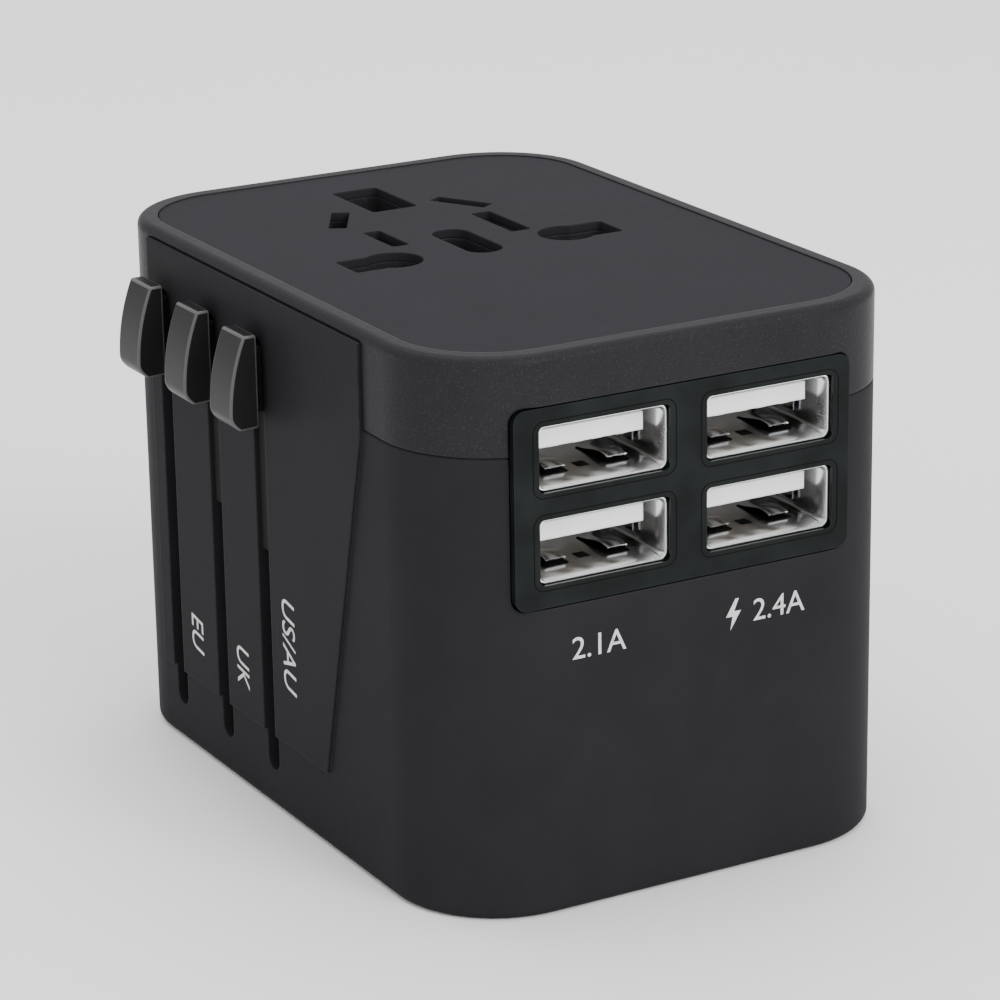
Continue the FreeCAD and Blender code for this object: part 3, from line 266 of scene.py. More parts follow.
    def relief(self, height: Signal, depth: float, strength: float = 1.0,
               softness: float = 0.0) -> Signal:
        """A normal from a height, over edges that are rounded first.

        Args:
            height: The height, from 0 to 1.
            depth: What 1 stands for, in metres.
            strength: How much of it shows.
            softness: The radius that edges are rounded to, in metres.

        Returns:
            The bumped normal.
        """
        sockets = {"Height": height, "Distance": depth, "Strength": strength}
        if softness > 0.0:
            soft = self.node("ShaderNodeBevel", {"samples": 6}, {"Radius": softness})
            sockets["Normal"] = Signal(self, soft.outputs["Normal"])
        made = self.node("ShaderNodeBump", {}, sockets)
        return Signal(self, made.outputs["Normal"])


# ----------------------------------------------------------------------------------- finishes


class Finish:
    """A surface finish, made into a material once and then shared.

    Each kind of finish has a name, and paints its own nodes.
    """

    def material(self) -> bpy.types.Material:
        """The finish's material."""
        name = f"{type(self).__name__}_{self.name}"
        found = bpy.data.materials.get(name)
        if found is None:
            kit = MaterialKit(name)
            self.paint(kit)
            found = kit.material
        return found

    def paint(self, kit: MaterialKit) -> None:
        """Adds the finish's nodes."""
        raise NotImplementedError


@dataclass(frozen=True)
class Moulding(Finish):
    """Injection-moulded plastic: spark-eroded grain, handling polish, edges pale from handling and
    painted highlight, painted glints.
    """

    name: str
    colour: Colour
    roughness: float = 0.45
    grain: float = 0.25 * MM
    depth: float = 0.012 * MM
    gloss: float = 0.5
    coat: float = 0.0
    # Strength and lift of the pale edges: partly handling marks, partly painted highlight.
    wear_and_highlight: float = 0.35
    edge: float = 0.3 * MM
    rub_and_highlight: float = 0.02
    # Amount of pale specks: painted glints.
    painted_glints: float = 0.0

    def paint(self, kit: MaterialKit) -> None:
        """Colour clouds, grain, roughness clouds, edges pale from handling and painted highlight, and
        painted glints.
        """
        clouds = kit.noise(9 * MM, 4.0, 0.6)
        specks = kit.grains(self.grain)
        # The edge mask pales edges for handling marks and as painted highlight on rims, chamfers and
        # bevels.
        edge = kit.edges(0.2 * MM) * (0.5 + kit.noise(1.6 * MM, 3.0).ramp(0.3, 0.62) * 0.5)
        dark = tuple(c * 0.93 for c in self.colour)
        light = tuple(min(1.0, c * 1.06 + 0.0005) for c in self.colour)
        worn_and_highlight = tuple(min(1.0, c * 1.6 + self.rub_and_highlight) for c in self.colour)
        body = kit.blend(clouds.ramp(0.25, 0.75), dark, light)
        # Pale specks mixed into the colour: painted glints of the textured surface.
        if self.painted_glints > 0.0:
            points = kit.noise(0.16 * MM, 1.0).ramp(0.58, 0.74)
            body = kit.blend(points * self.painted_glints, body, tuple(c * 3.0 + 0.01 for c in self.colour))
        kit.set(Base_Color=kit.blend(edge * self.wear_and_highlight, body, worn_and_highlight),
                Roughness=(self.roughness + (clouds - 0.5) * 0.12
                           + (kit.noise(0.9 * MM, 2.0) - 0.5) * 0.08 - edge * 0.08).clamped(),
                Specular_IOR_Level=self.gloss, Coat_Weight=self.coat, Coat_Roughness=0.12,
                Normal=kit.relief(specks + kit.noise(self.grain * 0.6, 2.0) * 0.6, self.depth, 0.8,
                                   self.edge))


@dataclass(frozen=True)
class SmokedAcrylic(Finish):
    """Polished smoked plastic with a faint cool depth and swirl marks."""

    name: str
    colour: Colour

    def paint(self, kit: MaterialKit) -> None:
        """Slow colour drift, paler edges, fine hairlines and a faint ripple."""
        drift = kit.noise(6 * MM, 3.0, 0.55).ramp(0.3, 0.7)
        hairs = kit.noise(1.0 * MM, 3.0, 0.6, kit.stretched((1.0, 1.0, 0.06), 20.0))
        deep = tuple(c * 0.45 for c in self.colour)
        edge = kit.edges(0.2 * MM)
        tinted = kit.blend(drift, deep, self.colour)
        kit.set(Base_Color=kit.blend(edge * 0.5, tinted, tuple(c * 2.0 + 0.008 for c in self.colour)),
                Roughness=0.13 + hairs.ramp(0.45, 0.8) * 0.12,
                Specular_IOR_Level=0.09,
                Normal=kit.relief(kit.noise(2.2 * MM, 2.0), 0.01 * MM, 0.35))


@dataclass(frozen=True)
class PlatedMetal(Finish):
    """Plated or rolled metal with drawing lines, dull clouds and bright edges."""

    name: str
    colour: Colour
    roughness: float = 0.24
    lines: tuple[float, float, float] = (1.0, 1.0, 0.04)
    tarnish: float = 0.3

    def paint(self, kit: MaterialKit) -> None:
        """Lines along the drawing direction, tarnish and brighter edges."""
        drawn = kit.noise(0.12 * MM, 3.0, 0.6, kit.stretched(self.lines))
        clouds = kit.noise(2.5 * MM, 4.0, 0.6).ramp(0.35, 0.7)
        dull = tuple(c * 0.72 for c in self.colour)
        bright = tuple(min(1.0, c * 1.12) for c in self.colour)
        edge = kit.edges(0.15 * MM)
        body = kit.blend(clouds * self.tarnish, self.colour, dull)
        kit.set(Base_Color=kit.blend(edge * 0.6, body, bright), Metallic=1.0,
                Roughness=(self.roughness + (drawn - 0.5) * 0.1 + clouds * 0.05 - edge * 0.05).clamped(),
                Normal=kit.relief(drawn, 0.001 * MM, 0.3))


@dataclass(frozen=True)
class PortSteelWithPaintedShade(PlatedMetal):
    """Drawn steel that is bright at the mouth of a port and darkened by painted shade deep inside it."""

    mouth: float = -34.4 * MM
    depth: float = 4.5 * MM
    inside: Colour = (0.42, 0.42, 0.43)

    def paint(self, kit: MaterialKit) -> None:
        """The plated finish, with its colour carried towards the inside colour along Y, as painted shade
        deeper in the port.
        """
        super().paint(kit)
        parts = kit.node("ShaderNodeSeparateXYZ", {}, {"Vector": kit.place})
        # Painted shade: darker the deeper into the port.
        along = Signal(kit, parts.outputs["Y"]).ramp(self.mouth, self.mouth + self.depth)
        plated = Signal(kit, kit.shader.inputs["Base Color"].links[0].from_socket)
        kit.set(Base_Color=kit.blend(along, plated, self.inside))


@dataclass(frozen=True)
class SolderMask(Finish):
    """A circuit board's lacquer over copper tracks."""

    name: str
    colour: Colour

    def paint(self, kit: MaterialKit) -> None:
        """Tracks as bands of a coarse cell pattern, slightly raised and paler."""
        cells = kit.node("ShaderNodeTexBrick", {"offset": 0.37},
                         {"Vector": kit.place, "Scale": 260.0, "Mortar Size": 0.06,
                          "Mortar Smooth": 0.2})
        track = Signal(kit, cells.outputs["Fac"])
        clouds = kit.noise(5 * MM, 3.0)
        copper = tuple(c * 1.7 + 0.01 for c in self.colour)
        kit.set(Base_Color=kit.blend(track * 0.6, self.colour, copper),
                Roughness=0.3 + clouds * 0.2, Specular_IOR_Level=0.5,
                Normal=kit.relief(track, 0.03 * MM, 0.6))


@dataclass(frozen=True)
class Ink(Finish):
    """Pad-printed ink, a little uneven where it lies on grain."""

    name: str
    colour: Colour

    def paint(self, kit: MaterialKit) -> None:
        """Thin spots and a matt surface."""
        thin = kit.noise(0.35 * MM, 2.0).ramp(0.3, 0.5)
        faded = tuple(c * 0.72 for c in self.colour)
        kit.set(Base_Color=kit.blend(thin, faded, self.colour),
                Roughness=0.55 + kit.noise(0.5 * MM) * 0.15, Specular_IOR_Level=0.4,
                Normal=kit.relief(kit.grains(0.25 * MM), 0.006 * MM, 0.5))


@dataclass(frozen=True)
class Backdrop(Finish):
    """The pale studio floor."""

    name: str
    colour: Colour

    def paint(self, kit: MaterialKit) -> None:
        """Almost even, with a faint mottle."""
        mottle = kit.noise(60 * MM, 3.0)
        dark = tuple(c * 0.985 for c in self.colour)
        kit.set(Base_Color=kit.blend(mottle, dark, self.colour), Roughness=0.9,
                Specular_IOR_Level=0.1)


class Look(Enum):
    """The finishes of this adapter."""

    # Pale edges on these mouldings are partly handling marks and partly painted highlight.
    HOUSING = Moulding("housing", (0.0192, 0.019, 0.0212), 0.52, 0.22 * MM, 0.008 * MM, 0.02,
                       rub_and_highlight=0.045, wear_and_highlight=0.5)
    # The cap's pale specks are painted glints.
    CAP = Moulding("cap", (0.0205, 0.0202, 0.0225), 0.36, 0.3 * MM, 0.014 * MM, 0.035,
                   rub_and_highlight=0.03, wear_and_highlight=0.35, painted_glints=0.3)
    PLATE = Moulding("plate", (0.0222, 0.0215, 0.0254), 0.6, 0.18 * MM, 0.006 * MM, 0.03)
    # Knob edges pale strongly, mostly as painted highlight; the bevel finish after it is a painted
    # highlight.
    KNOB = Moulding("knob", (0.0125, 0.0125, 0.0127), 0.36, 0.2 * MM, 0.003 * MM, 0.12,
                    wear_and_highlight=0.9, edge=0.0, rub_and_highlight=0.11)
    KNOB_BEVEL_HIGHLIGHT = Moulding("knob_bevel_highlight", (0.085, 0.085, 0.087), 0.34, 0.2 * MM, 0.003 * MM, 0.2,
                         wear_and_highlight=0.0, edge=0.0)
    INNER = Moulding("inner", (0.009, 0.009, 0.0092), 0.55, gloss=0.04, wear_and_highlight=0.1)
    # Near-black painted shade, for openings in the port floors and the lines round the port windows.
    PAINTED_SHADE_BLACK = Moulding("painted_shade", (0.002, 0.002, 0.002), 0.7, 0.2 * MM, 0.004 * MM, 0.1, 0.0, 0.0)
    SHUTTER = Moulding("shutter", (0.05, 0.05, 0.052), 0.5)
    TURRET = Moulding("turret", (0.35, 0.35, 0.34), 0.5)
    TONGUE = Moulding("tongue", (0.95, 0.955, 0.96), 0.35, 0.2 * MM, 0.004 * MM, 0.5, 0.2, 0.0)
    SLEEVE = Moulding("sleeve", (0.018, 0.018, 0.018), 0.42, 0.2 * MM, 0.006 * MM)
    FERRITE = Moulding("ferrite", (0.04, 0.04, 0.043), 0.6, 0.3 * MM, 0.02 * MM)
    TAPE = Moulding("tape", (0.72, 0.5, 0.06), 0.35, 0.3 * MM, 0.004 * MM)
    SHRINK = Moulding("shrink", (0.02, 0.03, 0.09), 0.3, 0.3 * MM, 0.004 * MM, 0.5, 0.3)
    RESIN = Moulding("resin", (0.015, 0.015, 0.015), 0.55, 0.1 * MM, 0.006 * MM)
    CERAMIC = Moulding("ceramic", (0.75, 0.73, 0.68), 0.3, 0.2 * MM, 0.003 * MM, 0.5, 0.3, 0.0)
    BEZEL = SmokedAcrylic("bezel", (0.0095, 0.0122, 0.012))
    BOARD = SolderMask("board", (0.01, 0.09, 0.035))
    # Port steel darkens inward as painted shade.
    PORT = PortSteelWithPaintedShade("port", (0.9, 0.9, 0.91), 0.22, (1.0, 0.04, 1.0), 0.15)
    NICKEL = PlatedMetal("nickel", (0.74, 0.73, 0.7), 0.34, tarnish=0.12)
    BRASS = PlatedMetal("brass", (0.72, 0.5, 0.2), 0.3)
    GOLD = PlatedMetal("gold", (0.9, 0.78, 0.52), 0.22, (1.0, 0.04, 1.0), 0.1)
    STEEL = PlatedMetal("steel", (0.6, 0.6, 0.61), 0.3)
    PRINT = Ink("print", (0.62, 0.62, 0.64))
    FLOOR = Backdrop("floor", (0.95, 0.95, 0.95))


CAD_LOOKS: dict[str, Look] = {
    "housing_plastic": Look.HOUSING, "cap_plastic": Look.CAP, "plate_plastic": Look.PLATE,
    "smoke_bezel": Look.BEZEL, "inner_plastic": Look.INNER, "shutter_plastic": Look.SHUTTER,
    "knob_plastic": Look.KNOB, "carriage_plastic": Look.INNER, "turret_plastic": Look.TURRET,
    "circuit_board": Look.BOARD, "ferrite": Look.FERRITE, "winding": Look.TAPE,
    "capacitor_sleeve": Look.SHRINK, "chip_resin": Look.RESIN, "fuse_ceramic": Look.CERAMIC,
    "tongue_plastic": Look.TONGUE, "port_steel": Look.PORT, "gold_contact": Look.GOLD,
    "sleeve_plastic": Look.SLEEVE, "pin_metal": Look.NICKEL, "contact_brass": Look.BRASS,
    "nickel": Look.NICKEL, "screw_steel": Look.STEEL, "spring_steel": Look.STEEL,
}


# ----------------------------------------------------------------------------------- surfaces


class Side(Enum):
    """Where flat outlines lie: the directions of their first axis, second axis and outward."""

    FRONT = ((1.0, 0.0, 0.0), (0.0, 0.0, 1.0), (0.0, -1.0, 0.0))
    LEFT_DOWNWARD = ((0.0, 0.0, -1.0), (0.0, -1.0, 0.0), (-1.0, 0.0, 0.0))
    TOP = ((1.0, 0.0, 0.0), (0.0, 1.0, 0.0), (0.0, 0.0, 1.0))

    def lay(self, first: np.ndarray, second: np.ndarray, out: np.ndarray) -> np.ndarray:
        """Points from three coordinates: the sum of each coordinate times its direction.

        Args:
            first: Distance along the first axis.
            second: Distance along the second axis.
            out: Distance outward.

        Returns:
            The points, in an array with one more dimension, of size 3.
        """
        axes = np.array(self.value)
        return first[..., None] * axes[0] + second[..., None] * axes[1] + out[..., None] * axes[2]


@dataclass
class Grid:
    """A surface over a grid of two parameters, whose columns always meet round the grid."""

    points: np.ndarray
    wrap_rows: bool = False
    capped: bool = True

    def faces(self, start: int = 0) -> list[list[int]]:
        """The grid's four-sided faces, and its two end faces where it is capped.

        Each face joins a point, the next in its row, the next in both and the next in its column.

        Args:
            start: The number of the grid's first vertex.

        Returns:
            Vertex numbers, face by face.
        """
        rows, columns = self.points.shape[:2]
        here = np.arange(rows * columns).reshape(rows, columns) + start
        beside = np.roll(here, -1, axis=1)
        quads = np.stack([here, beside, np.roll(beside, -1, axis=0), np.roll(here, -1, axis=0)],
                         axis=-1)
        last_row = rows if self.wrap_rows else rows - 1
        found = quads[:last_row].reshape(-1, 4).tolist()
        if self.capped and not self.wrap_rows:
            found += [here[0][::-1].tolist(), here[-1].tolist()]
        return found


def rounded_ring(half: tuple[float, float], radius: float,
                 steps: int = 7) -> tuple[np.ndarray, np.ndarray]:
    """A rounded rectangle as corner centres plus a radius times a unit direction.

    The direction turns through a quarter circle at each corner in turn, so growing the radius
    alone moves the outline outwards by the same distance everywhere.

    Args:
        half: Half the rectangle's length and height.
        radius: The corners' radius.
        steps: Points on each corner.

    Returns:
        The corner centre and the unit direction of each point of the outline.
    """
    turn = (np.arange(4)[:, None] * np.pi / 2 + np.linspace(0.0, np.pi / 2, steps)).ravel()
    middle = np.repeat(np.arange(4) * np.pi / 2 + np.pi / 4, steps)
    centres = np.stack([np.sign(np.cos(middle)) * (half[0] - radius),
                        np.sign(np.sin(middle)) * (half[1] - radius)], axis=-1)
    return centres, np.stack([np.cos(turn), np.sin(turn)], axis=-1)


def framed(side: Side, centre: tuple[float, float], half: tuple[float, float], radius: float,
           profile: Sequence[tuple[float, float]], closed: bool) -> Grid:
    """A profile carried round a rounded rectangle.

    Each profile point is a growth of the outline and a height outward. The surface point is the
    corner centre plus the direction times the radius plus growth, at that height.

    Args:
        side: The plane of the rectangle.
        centre: The rectangle's centre on the plane's two axes.
        half: Half its length and height.
        radius: Its corners' radius.
        profile: Growth and height of each point of the profile.
        closed: Whether the profile's end meets its start.

    Returns:
        The surface.
    """
    centres, directions = rounded_ring(half, radius)
    growth, height = np.array(profile, dtype=float).T
    flat = centres[None] + (radius + growth)[:, None, None] * directions[None] + np.array(centre)
    out = np.broadcast_to(height[:, None], flat.shape[:2])
    return Grid(side.lay(flat[..., 0], flat[..., 1], out), wrap_rows=closed, capped=not closed)


def carried(path: np.ndarray, across: tuple[float, float, float], section: np.ndarray) -> Grid:
    """A section carried along a path.

    The point is the path plus the section's first coordinate along the across direction and its
    second along the normal, which is the tangent crossed with that direction.

    Args:
        path: Points of the path, one a row.
        across: The unit direction of the section's first axis.
        section: Points of the section, one a row.

    Returns:
        The surface, capped at both ends.
    """
    tangent = np.gradient(path, axis=0)
    tangent /= np.linalg.norm(tangent, axis=1, keepdims=True)
    side = np.array(across)
    normal = np.cross(tangent, side)
    points = (path[:, None] + section[None, :, :1] * side
              + section[None, :, 1:] * normal[:, None])
    return Grid(points)


def straight_loft(outline: np.ndarray, stations: np.ndarray, axis: int) -> Grid:
    """An outline repeated at stations along one axis, with flat ends.

    Args:
        outline: Points on the other two axes, in their order.
        stations: Where each copy stands along the axis.
        axis: 0, 1 or 2 for X, Y or Z.

    Returns:
        The surface.
    """
    points = np.empty((len(stations), len(outline), 3))
    others = [i for i in range(3) if i != axis]
    points[..., others] = outline[None]
    points[..., axis] = stations[:, None]
    return Grid(points)


class Maker:
    """Turns surfaces into dressed pieces that ride on a body."""

    @staticmethod
    def piece(name: str, grids: Sequence[Grid], look: Look, slot: str, body: str = "root",
              bevel: float = 0.0, sharp: float = 35.0,
              bevel_highlight_look: Look | None = None) -> bpy.types.Object:
        """One piece from one or more closed surfaces.

        Args:
            name: The piece's name.
            grids: Its surfaces.
            look: Its finish.
            slot: The material slot of the matching imported part; not used.
            body: The body that it rides on.
            bevel: Width of its bevelled edges, in metres; 0 for none.
            sharp: Degrees at which two faces meet in a hard edge.
            bevel_highlight_look: The finish of the bevels, paler as a painted highlight.

        Returns:
            The object.
        """
        sizes = [len(grid.points.reshape(-1, 3)) for grid in grids]
        starts = np.concatenate([[0], np.cumsum(sizes)[:-1]])
        corners = np.concatenate([grid.points.reshape(-1, 3) for grid in grids])
        faces = [face for grid, start in zip(grids, starts) for face in grid.faces(int(start))]
        mesh = bpy.data.meshes.new(name)
        mesh.from_pydata(corners.tolist(), [], faces)
        Maker.turn_outward(mesh)
        made = Maker.dress(name, mesh, look, slot, body, bevel, sharp)
        if bevel_highlight_look is not None:
            mesh.materials.append(bevel_highlight_look.value.material())
            made.modifiers["rounded_edges"].material = 1
        return made

    @staticmethod
    def turn_outward(mesh: bpy.types.Mesh) -> None:
        """Makes every face of a closed mesh point outwards."""
        work = bmesh.new()
        work.from_mesh(mesh)
        bmesh.ops.recalc_face_normals(work, faces=work.faces)
        work.to_mesh(mesh)
        work.free()

    @staticmethod
    def dress(name: str, mesh: bpy.types.Mesh, look: Look, slot: str, body: str,
              bevel: float = 0.0, sharp: float = 35.0) -> bpy.types.Object:
        """Gives a mesh its object, shading, finish and body."""
        mesh.polygons.foreach_set("use_smooth", np.ones(len(mesh.polygons), dtype=bool))
        mesh.set_sharp_from_angle(angle=math.radians(sharp))
        mesh.materials.clear()
        mesh.materials.append(look.value.material())
        made = bpy.data.objects.new(name, mesh)
        bpy.context.scene.collection.objects.link(made)
        if bevel > 0.0:
            rounding = made.modifiers.new("rounded_edges", "BEVEL")
            rounding.width = bevel
            rounding.segments = 3
            rounding.limit_method = "ANGLE"
            rounding.angle_limit = math.radians(38.0)
            rounding.harden_normals = False
        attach(made, body)
        LOG.info("made %s with %d faces on %s", name, len(mesh.polygons), body)
        return made


# --------------------------------------------------------------------------------- USB ports


@dataclass
class UsbPort:
    """A drawn steel USB shell with its flared lip, contact springs and the slots round them."""

    corner: str
    opening: tuple[float, float] = (12.5 * MM, 5.12 * MM)
    sheet: float = 0.3 * MM
    lip: float = 0.16 * MM
    forward: float = 0.6 * MM
    corner_radius: float = 0.38 * MM
    spring_width: float = 2.1 * MM
    spring_crest: float = 0.62 * MM
    spring_reach: float = 3.2 * MM
    spring_root: float = 7.6 * MM
    spring_length: float = 5.2 * MM
    side_width: float = 1.3 * MM
    side_crest: float = 0.45 * MM
    side_setback: float = 1.6 * MM
    side_drop: float = 0.9 * MM
    lifted: float = 0.1 * MM
    slot_place: float = 4.9 * MM
    slot_half_length: float = 2.9 * MM
    hole_place: float = 3.4 * MM
    hole_half: tuple[float, float] = (0.6 * MM, 0.7 * MM)

    def build(self) -> None:
        """Makes the shell, its springs and their slots."""
        low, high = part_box(f"usb_shell_{self.corner}")
        self.centre = ((low.x + high.x) / 2, (low.z + high.z) / 2)
        self.front, self.back = -low.y, -high.y
        shell = self.shell()
        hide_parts(f"usb_shell_{self.corner}")
        for name, x in (("left", -self.spring_reach), ("right", self.spring_reach)):
            self.floor_spring(name, x)
        for name, sign in (("left", -1.0), ("right", 1.0)):
            self.side_spring(name, sign)
        self.locking_hole()

    def shell(self) -> bpy.types.Object:
        """The sheet carried round the opening: outside, flared lip, inside, and the back wall."""
        metal, flare = self.sheet, self.sheet + self.lip
        edge = self.front + self.forward
        profile = [(metal, self.back), (metal, edge - 1.5 * MM), (flare, edge - 0.5 * MM),
                   (flare, edge - 0.08 * MM), (flare - 0.05 * MM, edge), (flare - 0.16 * MM, edge),
                   (flare - 0.22 * MM, edge - 0.08 * MM), (0.05 * MM, edge - 1.3 * MM),
                   (0.0, edge - 1.7 * MM), (0.0, self.back + metal)]
        half = (self.opening[0] / 2, self.opening[1] / 2)
        grid = framed(Side.FRONT, self.centre, half, self.corner_radius, profile, closed=False)
        return Maker.piece(f"port_shell_{self.corner}", [grid], Look.PORT, "port_steel")

    def spring_path(self, crest: float) -> tuple[np.ndarray, np.ndarray]:
        """Depth and rise of a spring: it climbs along a sine to a crest near the front.

        Args:
            crest: The crest's height over the sheet, in metres.

        Returns:
            Outward position and rise at each station.
        """
        t = np.linspace(0.0, 1.0, 19)
        out = self.front - self.spring_root + t * self.spring_length
        return out, crest * np.sin(0.78 * np.pi * t ** 1.6)

    def floor_spring(self, name: str, x: float) -> None:
        """A spring cut from the shell's floor, and the slot that it leaves, drawn as a near-black plate
        of painted shade.

        Args:
            name: Which spring.
            x: Its place across the port, from the centre.
        """
        out, rise = self.spring_path(self.spring_crest)
        floor = self.centre[1] - self.opening[1] / 2
        path = np.stack([np.full_like(out, self.centre[0] + x), -out, floor + self.lifted + rise],
                        axis=-1)
        section = self.strip_section(self.spring_width)
        Maker.piece(f"port_spring_{name}_{self.corner}", [carried(path, (1.0, 0.0, 0.0), section)],
                    Look.PORT, "port_steel")
        self.painted_shade(f"port_slot_{name}_{self.corner}", x, self.slot_place,
                    (self.spring_width * 0.62, self.slot_half_length), 0.4 * MM)

    def side_spring(self, name: str, sign: float) -> None:
        """A spring in a side wall, the same curve turned to lean inwards."""
        out, rise = self.spring_path(self.side_crest)
        out = out - self.side_setback
        wall = self.centre[0] + sign * self.opening[0] / 2
        path = np.stack([wall - sign * (self.lifted + rise), -out,
                         np.full_like(out, self.centre[1] - self.side_drop)], axis=-1)
        section = self.strip_section(self.side_width)
        Maker.piece(f"port_side_spring_{name}_{self.corner}",
                    [carried(path, (0.0, 0.0, 1.0), section)], Look.PORT, "port_steel")

    def locking_hole(self) -> None:
        """The small square opening between the two floor springs, drawn as a plate of painted shade."""
        self.painted_shade(f"port_hole_{self.corner}", 0.0, self.hole_place, self.hole_half, 0.12 * MM)

    def painted_shade(self, name: str, x: float, inward: float, half: tuple[float, float],
               radius: float) -> None:
        """An opening in the shell's floor, as a thin near-black plate of painted shade just over the
        sheet.

        Args:
            name: The piece's name.
            x: Its place across the port, from the centre.
            inward: How far it lies behind the shell's front.
            half: Half its size across and along the port.
            radius: Its corners' radius.
        """
        floor = self.centre[1] - self.opening[1] / 2
        plate = framed(Side.TOP, (self.centre[0] + x, -self.front + inward), half, radius,
                       [(0.0, floor + 0.002 * MM), (0.0, floor + 0.02 * MM)], closed=False)
        Maker.piece(name, [plate], Look.PAINTED_SHADE_BLACK, "inner_plastic")

    @staticmethod
    def strip_section(width: float) -> np.ndarray:
        """The section of a sheet strip: a flat rounded rectangle."""
        half_thick, radius = 0.08 * MM, 0.07 * MM
        centres, directions = rounded_ring((width / 2, half_thick), radius, 3)
        return centres + directions * radius


@dataclass
class PortOutline:
    """The fine moulded line round each port's window in the smoked bezel."""

    corner: str
    margin: tuple[float, float] = (0.75 * MM, 0.62 * MM)
    radius: float = 1.0 * MM
    width: float = 0.11 * MM
    rise: float = 0.03 * MM
    sunk: float = 0.05 * MM
    slope: float = 0.02 * MM

    def build(self) -> None:
        """A thin bead carried round the window, on the bezel's face."""
        low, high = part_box(f"usb_shell_{self.corner}")
        face = -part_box("usb_bezel")[0].y
        half = ((high.x - low.x) / 2 + self.margin[0], (high.z - low.z) / 2 + self.margin[1])
        base, top = face - self.sunk, face + self.rise
        bead = framed(Side.FRONT, ((low.x + high.x) / 2, (low.z + high.z) / 2), half, self.radius,
                      [(0.0, base), (self.slope, top), (self.width - self.slope, top),
                       (self.width, base)], closed=True)
        # The bead is near-black painted shade along the line round the window.
        Maker.piece(f"port_outline_{self.corner}", [bead], Look.PAINTED_SHADE_BLACK, "smoke_bezel")


# ------------------------------------------------------------------------------------- knobs


@dataclass
class SliderKnob:
    """A thumb knob: bowed outer face, bevelled edges, and a neck and foot in its slot."""

    code: str
    stand: float = 26.35 * MM
    crown: float = 29.3 * MM
    thinning: float = 1.6 * MM
    half_width: float = 2.3 * MM
    low: float = 39.4 * MM
    high: float = 48.5 * MM
    crown_height: float = 40.9 * MM
    neck_top: float = 46.9 * MM
    neck_low: float = 26.5 * MM
    half_neck: float = 0.975 * MM
    link: float = 21.45 * MM
    half_foot: float = 2.4 * MM
    foot_thick: float = 1.4 * MM
    wall: float = 25.0 * MM
    overlap: float = 0.1 * MM
    undercut: float = 1.0 * MM
    stem_rise: float = 1.2 * MM
    sharp: float = 50.0

    def build(self) -> None:
        """Makes the knob in place of its plain solid."""
        low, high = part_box(f"{self.code}_knob")
        self.row = (low.y + high.y) / 2
        self.foot_low = low.z
        body = f"{self.code}_slider"
        # The head's bevels take the pale bevel finish: a painted highlight.
        head = Maker.piece(f"{self.code}_thumb_knob", [self.head()], Look.KNOB, "knob_plastic", body,
                           bevel=0.34 * MM, sharp=self.sharp, bevel_highlight_look=Look.KNOB_BEVEL_HIGHLIGHT)
        Maker.piece(f"{self.code}_knob_neck", self.neck(), Look.INNER, "knob_plastic", body,
                    bevel=0.12 * MM, sharp=self.sharp)
        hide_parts(f"{self.code}_knob")

    def head(self) -> Grid:
        """The side outline carried across the knob.

        Above the crown the outer face falls back as the square of the height over it, and below
        the crown it is cut back as the square of the way down.
        """
        up = np.linspace(1.0, 0.0, 22)
        down = np.linspace(0.0, 1.0, 12)[1:]
        upper = np.stack([-self.crown + self.thinning * up ** 2,
                          self.crown_height + (self.high - self.crown_height) * up], axis=-1)
        lower = np.stack([-self.crown + self.undercut * down ** 2,
                          self.crown_height - (self.crown_height - self.low) * down], axis=-1)
        back = np.array([[-self.stand, self.low + self.overlap], [-self.stand, self.high]])
        outline = np.concatenate([upper, lower, back])
        return straight_loft(outline, self.row + np.array([-1.0, 1.0]) * self.half_width, axis=1)

    def bar(self, near: float, far: float, half: float, low: float, high: float) -> Grid:
        """An upright bar centred on the slot's row.

        Args:
            near: How far left its left face is.
            far: How far left its right face is.
            half: Half its width, front to back.
            low: The height of its bottom.
            high: The height of its top.

        Returns:
            The bar.
        """
        front, back = self.row - half, self.row + half
        outline = np.array([[-near, front], [-far, front], [-far, back], [-near, back]])
        return straight_loft(outline, np.array([low, high]), axis=2)

    def neck(self) -> list[Grid]:
        """A bar through the wall, one from it to the head, and the foot screwed to the carriage."""
        return [self.bar(self.wall, self.link + self.foot_thick - self.overlap, self.half_neck,
                         self.neck_low, self.neck_top),
                self.bar(self.stand + 2 * self.overlap, self.wall - self.overlap, self.half_neck,
                         self.low + self.stem_rise, self.neck_top),
                self.bar(self.link + self.foot_thick, self.link, self.half_foot,
                         self.foot_low, self.neck_top - self.overlap)]


# ------------------------------------------------------------------------------------ prints


